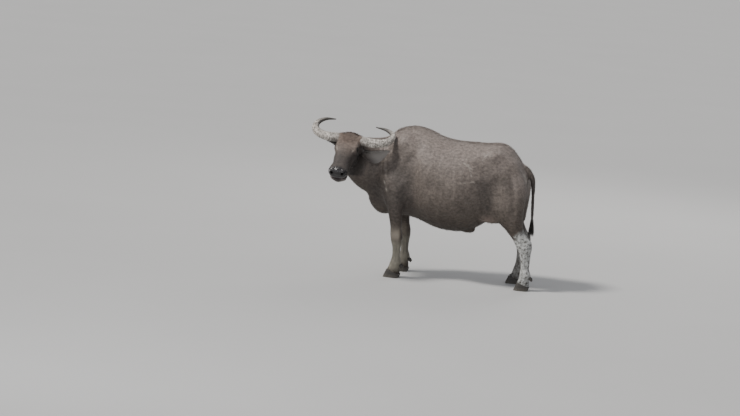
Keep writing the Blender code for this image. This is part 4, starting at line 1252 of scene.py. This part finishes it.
def horn_line(sweep, tip):
    """A horn's middle line, as how far it is to the side and to the rear."""
    span = HORN_HALF_SPAN
    return [
        (0.060, 0.000),
        (0.115, -0.004),
        (0.18, -0.010),
        (0.72 * span, 0.000),
        (0.90 * span, 0.16 * sweep),
        (0.985 * span, 0.42 * sweep),
        (0.96 * span, 0.70 * sweep),
        (0.6 * span + 0.4 * tip, 0.91 * sweep),
        (tip, sweep),
    ]


def curve_through(rows, count):
    """Evenly spaced rows on a smooth curve through these."""
    rows = np.array(rows, float)
    steps = np.linalg.norm(np.diff(rows[:, :3], axis=0), axis=1)
    along = np.concatenate([[0.0], np.cumsum(steps)])
    slopes = np.gradient(rows, along, axis=0)
    at = np.linspace(0.0, along[-1], count)
    i = np.clip(np.searchsorted(along, at, side="right") - 1, 0, len(along) - 2)
    span = (along[i + 1] - along[i])[:, None]
    u = (at - along[i])[:, None] / span
    return (
        (1 + 2 * u) * (1 - u) ** 2 * rows[i]
        + u * (1 - u) ** 2 * span * slopes[i]
        + u * u * (3 - 2 * u) * rows[i + 1]
        + u * u * (u - 1) * span * slopes[i + 1]
    )


def tube(rings, sides):
    """The faces of a closed tube of rings."""
    made = []
    for ring in range(rings - 1):
        for k in range(sides):
            a, b = ring * sides + k, ring * sides + (k + 1) % sides
            made.append((a, b, b + sides, a + sides))
    made.append(tuple(range(sides))[::-1])
    made.append(tuple((rings - 1) * sides + k for k in range(sides)))
    return made


# How thick a horn is along its line, against its root
HORN_TAPER = [1.0, 1.0, 0.97, 0.90, 0.80, 0.68, 0.54, 0.36, 0.10]
HORN_RINGS, HORN_SIDES = 220, 56
RIDGES = 30


def horn(name, node, side, sweep, tip, paint):
    """A crescent horn with cross ridges that are strongest at its base."""
    rows = [
        (-back, side * lateral, -0.036, HORN_ROOT_RADIUS * share)
        for (lateral, back), share in zip(horn_line(sweep, tip), HORN_TAPER)
    ]
    path = curve_through(rows, HORN_RINGS)
    centres, radius = path[:, :3], path[:, 3]
    facing = unit(np.gradient(centres, axis=0))
    side_axis = unit(np.cross(np.array((0.0, 0.0, 1.0)), facing))
    up_axis = np.cross(facing, side_axis)
    angle = np.linspace(0, 2 * math.pi, HORN_SIDES, endpoint=False)
    along = np.linspace(0, 1, HORN_RINGS)
    rng = np.random.default_rng(7 if side > 0 else 8)
    phase = np.cumsum(rng.uniform(0.6, 1.4, HORN_RINGS)) / HORN_RINGS * 2 * math.pi * RIDGES
    base = 1 - ease(along, 0.30, 0.72)
    ridge = np.sin(phase)[:, None] * (0.0011 * base)[:, None]
    ridge = ridge * (0.75 + 0.25 * np.cos(angle + 0.6))[None]
    cosine, sine = np.cos(angle), np.sin(angle)
    power = 2.0 / 2.25
    across = np.sign(cosine) * np.abs(cosine) ** power
    upward = np.sign(sine) * np.abs(sine) ** power * 0.86
    wide = (radius[:, None] * 0.985 + ridge)[..., None]
    points = centres[:, None] + wide * (
        across[None, :, None] * side_axis[:, None] + upward[None, :, None] * up_axis[:, None]
    )
    points = points.reshape(-1, 3)
    rough = noise(points, 0.010, 5 + side) * 0.0004
    outward = unit(points - np.repeat(centres, HORN_SIDES, axis=0))
    points = in_head(points + outward * rough[:, None])
    mesh = mesh_of(name, points, tube(HORN_RINGS, HORN_SIDES))
    facing_out(mesh)
    hollow = np.sign(np.sum(side_axis * np.gradient(facing, axis=0)))
    inward = (across * hollow)[None] * ease(along, 0.12, 0.40)[:, None] - 0.6 * upward[None]
    write_marks(mesh, {"along": np.repeat(along, HORN_SIDES), "shaded": inward.ravel()})
    made = add_object(name, mesh, paint)
    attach(made, "root")
    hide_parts(node)


def horn_paint():
    paint = Paint("horn_keratin", 0.5)
    along = paint.attribute("along")
    grain = paint.noise(55.0, 4.0, rough=0.65)
    fine = paint.noise(240.0, 3.0, rough=0.7)
    rings = paint.math("ADD", paint.times(along, 230.0), paint.times(grain, 9.0))
    rings = paint.math("SINE", rings)
    mottled = paint.math("ADD", paint.times(grain, 0.6), paint.times(fine, 0.4))
    colour = paint.mix(paint.step(mottled, 0.41, 0.60), (0.15, 0.137, 0.120), (0.78, 0.720, 0.655))
    stain = paint.step(paint.noise(24.0, 4.0, rough=0.7), 0.50, 0.64)
    shaded = paint.step(paint.attribute("shaded"), -0.35, 0.50)
    root = paint.math("SUBTRACT", 1.0, paint.step(along, 0.08, 0.26))
    for share, strength, new in (
        (paint.step(rings, 0.2, 1.0), 0.35, (0.10, 0.092, 0.082)),
        (stain, 0.55, (0.150, 0.140, 0.124)),
        (shaded, 0.85, (0.060, 0.055, 0.048)),
        (root, 0.45, (0.17, 0.15, 0.135)),
    ):
        colour = paint.mix(paint.times(share, strength), colour, new)
    colour = paint.mix(paint.step(along, 0.60, 0.95), colour, (0.050, 0.045, 0.040))
    bumped = paint.raise_by(fine, 0.0006, 0.5, paint.raise_by(rings, 0.0007, 0.5))
    rough = paint.blend(paint.step(grain, 0.3, 0.7), 0.42, 0.68)
    return paint.finish(colour, rough, bumped, Specular_IOR_Level=0.5)


# The rings of growth on a hoof: how many radians a metre, how high, and how steeply they slope
RING_RATE, RING_HEIGHT, RING_SLOPE = 620.0, 0.00022, 0.36


def rounded_hoof(name, node, paint, voxel):
    """A claw or dewclaw of a hoof, with its flats and edges rounded, and its sole left flat."""
    co, _, faces = node_shape(node)
    made = add_object(name, mesh_of(name, co, faces))
    remesh(made, voxel)
    everywhere = np.ones(len(made.data.vertices))
    without_facets(made, everywhere, 8)
    at = smoothed(made, everywhere, 3)
    low = co[:, 2].min()
    if low < 0.001:
        at[:, 2] = np.where(at[:, 2] < low + 0.0012, low, at[:, 2])
    height = (at[:, 2] - low) / (co[:, 2].max() - low)
    level = at[:, 2] + RING_SLOPE * (at[:, 0] - at[:, 0].mean())
    rings = np.sin(level * RING_RATE + 0.8 * noise(at, 0.012, 81))
    growth = rings * RING_HEIGHT * ease(height, 0.05, 0.2)
    put_positions(made.data, at)
    put_positions(made.data, at + normals(made.data) * growth[:, None])
    dress(made.data, paint)
    write_marks(made.data, {"height": height})
    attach(made, "root")
    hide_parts(node)


def hoof_paint():
    paint = Paint("hoof_keratin", 0.5)
    rings = paint.noise(22.0, 3.0, stretch=(0.5, 0.5, 6.0), turn=(0, math.radians(-18), 0))
    grain = paint.noise(190.0, 4.0, rough=0.7)
    colour = paint.mix(paint.step(rings, 0.30, 0.70), (0.030, 0.027, 0.024), (0.052, 0.046, 0.040))
    dust = paint.math("SUBTRACT", 1.0, paint.step(paint.attribute("height"), 0.05, 0.55))
    dust = paint.times(dust, paint.step(grain, 0.35, 0.65))
    colour = paint.mix(paint.times(dust, 0.75), colour, (0.165, 0.150, 0.125))
    bumped = paint.raise_by(grain, 0.0005, 0.5, paint.raise_by(rings, 0.0008, 0.4))
    return paint.finish(colour, paint.blend(grain, 0.38, 0.68), bumped)


def eyeball(name, node, side, paint):
    """An eye with a slight bulge to its cornea."""
    points, faces = ball(64, 48, EYE_RADIUS)
    across, up, out = points[:, 1], points[:, 0], points[:, 2] / EYE_RADIUS
    bulge = 1 + 0.022 * ease(out, 0.72, 0.95)
    turned = columns(across, side * points[:, 2], up) * bulge[:, None]
    mesh = mesh_of(name, in_head(turned + mirrored(EYE_PLACE, side)), faces)
    facing_out(mesh)
    radial = np.sqrt(across**2 + up**2) / EYE_RADIUS
    pupil = np.sqrt((across / 0.0085) ** 2 + (up / 0.0045) ** 2)
    front = out > 0
    rings = {"radial": np.where(front, radial, 1.2), "pupil": np.where(front, pupil, 3.0)}
    write_marks(mesh, rings)
    made = add_object(name, mesh, paint)
    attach(made, "root")
    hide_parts(node)


def eye_paint():
    paint = Paint("eye_wet", 0.05)
    radial, pupil = paint.attribute("radial"), paint.attribute("pupil")
    spokes = paint.noise(420.0, 2.0)
    iris = paint.mix(paint.step(spokes, 0.35, 0.7), (0.010, 0.006, 0.004), (0.024, 0.014, 0.009))
    colour = paint.mix(paint.step(pupil, 0.9, 1.1), (0.004, 0.004, 0.004), iris)
    colour = paint.mix(paint.step(radial, 0.70, 0.80), colour, (0.014, 0.010, 0.008))
    more = {"Coat_Weight": 0.25, "Coat_Roughness": 0.03, "Specular_IOR_Level": 0.4}
    return paint.finish(colour, 0.12, **more)


def strands(name, roots, ways, lengths, widths, droop, paint, seed, steps=7):
    """Long hairs: thin tapering ribbons with a fold along them, which bend down as they go."""
    rng = np.random.default_rng(seed)
    count = len(roots)
    at, way = np.array(roots, float), unit(np.array(ways, float))
    step, wide = np.array(lengths)[:, None] / steps, np.array(widths)[:, None]
    side = unit(np.cross(way, rng.normal(size=(count, 3))))
    corners = []
    for k in range(steps + 1):
        half = side * wide * (1.0 - 0.9 * (k / steps) ** 1.6) * 0.5
        fold = unit(np.cross(side, way)) * np.linalg.norm(half, axis=1, keepdims=True) * 0.6
        corners += [at - half, at + fold, at + half]
        way = unit(way + np.array((0, 0, -droop)) + rng.normal(0, 0.035, (count, 3)))
        at = at + way * step
    per = len(corners)
    lefts = np.array([row + c for row in range(0, per - 3, 3) for c in (0, 1)])
    pattern = lefts[:, None] + (0, 1, 4, 3)
    faces = ((np.arange(count) * per)[:, None, None] + pattern[None]).reshape(-1, 4)
    mesh = sheet_mesh(name, np.stack(corners, axis=1).reshape(-1, 3), [faces])
    made = add_object(name, mesh, paint)
    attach(made, "root")
    return made


def tail_hair_paint():
    paint = Paint("tail_hair", 0.5)
    tint = paint.noise(300.0, 2.0, stretch=(1.0, 1.0, 0.1))
    colour = paint.mix(paint.step(tint, 0.35, 0.7), (0.014, 0.012, 0.011), (0.050, 0.041, 0.035))
    return paint.finish(colour, 0.48)


def tail_switch(paint):
    """The tuft at the tail's end, hair by hair, round the end of the dock."""
    rng = np.random.default_rng(41)
    count = 900
    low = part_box("tail_switch")[0]
    root = SHIFT + np.array((0.912, 0.0, 0.600))
    angle = rng.uniform(0, 2 * math.pi, count)
    radius = 0.0125 * np.sqrt(rng.uniform(0.25, 1, count))
    drop = rng.uniform(-0.006, 0.060, count)
    around = columns(np.cos(angle), np.sin(angle), 0.0)
    roots = root + around * radius[:, None] - np.outer(drop, (0, 0, 1))
    ways = around * 0.15 - np.array((0, 0, 1.0))
    lengths = (roots[:, 2] - low[2]) * rng.uniform(0.68, 1.0, count)
    widths = rng.uniform(0.0008, 0.0018, count)
    made = strands("switch_hair", roots, ways, lengths, widths, 0.12, paint, 42)
    patches = columns(angle / (2 * math.pi) * 0.9 + 0.03, (drop + 0.006) / 0.066 * 0.9 + 0.03)
    put_bake_patches(made.data, patches, ribbon_spots(8))
    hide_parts("tail_switch")
    core = [(0.606, 0.0115), (0.585, 0.0128), (0.56, 0.0115), (0.53, 0.0065), (0.515, 0.002)]
    rings, sides = 24, 20
    path = curve_through([(root[0], root[1], z, r) for z, r in core], rings)
    turn = np.linspace(0, 2 * math.pi, sides, endpoint=False)
    ring = columns(np.cos(turn), np.sin(turn), 0.0)
    points = (path[:, None, :3] + ring[None] * path[:, None, 3:4]).reshape(-1, 3)
    end = add_object("switch_core", mesh_of("switch_core", points, tube(rings, sides)), paint)
    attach(end, "root")


def ear_fringes(coat, paint):
    """Longer hairs that hang from the rims of the ears."""
    rng = np.random.default_rng(51)
    at, facing, ear = coat.at, coat.facing, coat.values["ear"]
    picked = []
    for side in EARS:
        width_axis = TURN @ ear_frame(side)[2]
        along = ear_places(at, side)[0]
        here = (head_places(at)[:, 1] > 0) == (side == "left")
        rim = (ear > 0.4) & here & (np.abs(facing @ width_axis) > 0.72) & (along > 0.12)
        index = np.flatnonzero(rim)
        picked.append(rng.choice(index, min(420, len(index)), replace=False))
    pick = np.concatenate(picked)
    roots, out = at[pick], facing[pick]
    values = {name: value[pick] for name, value in coat.values.items()}
    ways = unit(out * 0.55 + lie_of_coat(roots, out, values) * 0.9)
    lengths = rng.uniform(0.014, 0.030, len(pick))
    widths = rng.uniform(0.0008, 0.0013, len(pick))
    made = strands("ear_fringe", roots - out * 0.001, ways, lengths, widths, 0.07, paint, 52, steps=4)
    put_bake_patches(made.data, unwrap(roots, out, values), ribbon_spots(5))


def floor_and_sky():
    """A plain pale floor under an even pale sky."""
    work = bmesh.new()
    bmesh.ops.create_circle(work, cap_ends=True, segments=96, radius=240.0)
    mesh = bpy.data.meshes.new("floor")
    work.to_mesh(mesh)
    work.free()
    paint = Paint("floor_paint", 0.85)
    colour = paint.mix(paint.noise(0.6, 2.0), (0.47, 0.47, 0.468), (0.50, 0.50, 0.498))
    floor = add_object("floor", mesh, paint.finish(colour))
    floor.location.z = -0.0005
    world = bpy.data.worlds.new("studio")
    bpy.context.scene.world = world
    world.use_nodes = True
    sky = world.node_tree.nodes["Background"].inputs
    sky["Color"].default_value = (0.93, 0.95, 1.0, 1.0)
    sky["Strength"].default_value = 0.44


def light(name, kind, power, colour, way):
    """A light that shines this way."""
    data = bpy.data.lights.new(name, kind)
    data.energy = power
    data.color = colour
    made = bpy.data.objects.new(name, data)
    made.rotation_mode = "QUATERNION"
    made.rotation_quaternion = way.to_track_quat("-Z", "Y")
    bpy.context.scene.collection.objects.link(made)
    return made


def lights():
    """A soft sun, and a broad lamp on each side that looks at the middle of the body."""
    sun = light("key", "SUN", 3.3, (1.0, 0.97, 0.925), Vector((0.56, 0.29, -0.78)))
    sun.data.angle = math.radians(11)
    for name, place, size, power, colour in (
        ("front", (-2.0, -6.5, 3.2), 3.0, 60.0, (0.97, 0.98, 1.0)),
        ("back", (1.5, 6.5, 5.0), 3.5, 120.0, (1.0, 0.98, 0.95)),
    ):
        lamp = light(name, "AREA", power, colour, Vector((0.0, 0.0, 0.75)) - Vector(place))
        lamp.location = place
        lamp.data.shape = "DISK"
        lamp.data.size = size


def photo_camera():
    """The camera at the photograph's angle, with the body at the photograph's place and size."""
    a, e, roll = map(math.radians, (CAMERA_AZIMUTH, CAMERA_ELEVATION, CAMERA_ROLL))
    back = np.array((math.sin(a) * math.cos(e), -math.cos(a) * math.cos(e), math.sin(e)))
    level = np.array((math.cos(a), math.sin(a), 0.0))
    raised = np.cross(back, level)
    right = level * math.cos(roll) + raised * math.sin(roll)
    up = raised * math.cos(roll) - level * math.sin(roll)
    width, height = IMAGE_SIZE
    middle = SHIFT - right * (ORIGIN_PIXEL[0] - width / 2) / PIXELS_PER_METRE
    middle = middle + up * (ORIGIN_PIXEL[1] - height / 2) / PIXELS_PER_METRE
    data = bpy.data.cameras.new("camera")
    data.sensor_width = SENSOR
    data.lens = PIXELS_PER_METRE * CAMERA_DISTANCE * SENSOR / width
    data.clip_start, data.clip_end = 0.5, 600.0
    camera = bpy.data.objects.new("camera", data)
    bpy.context.scene.collection.objects.link(camera)
    matrix = Matrix.Identity(4)
    for column, axis in enumerate((right, up, back, middle + back * CAMERA_DISTANCE)):
        for row in range(3):
            matrix[row][column] = float(axis[row])
    camera.matrix_world = matrix
    bpy.context.scene.camera = camera


def main():
    floor_and_sky()
    lights()
    photo_camera()
    skin = build_skin()
    refine(skin, lambda at: (head_share(at) > 0.4) | (rough_ear(at)))
    refine(skin, face_part)
    sculpt_body(skin)
    sculpt_head(skin)
    values = marks(positions(skin.data), normals(skin.data))
    write_marks(skin.data, values)
    dress(skin.data, hide_paint())
    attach(skin, "root")
    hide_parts(*FLESH)
    keratin, hoof, wet, hair = horn_paint(), hoof_paint(), eye_paint(), tail_hair_paint()
    horn("horn_keratin_left", "horn_left", 1, 0.225, 0.17, keratin)
    horn("horn_keratin_right", "horn_right", -1, 0.25, 0.20, keratin)
    eyeball("eyeball_left", "eye_left", 1, wet)
    eyeball("eyeball_right", "eye_right", -1, wet)
    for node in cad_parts:
        name = node.replace("claw", "hoof")
        if node.startswith("claw_"):
            rounded_hoof(name, node, hoof, 0.0022)
        if node.startswith("dewclaw_"):
            rounded_hoof(name, node, hoof, 0.0014)
    tail_switch(hair)
    coat = Coat(skin, values)
    grow_coat(coat, coat_paint())
    ear_fringes(coat, hair)


main()
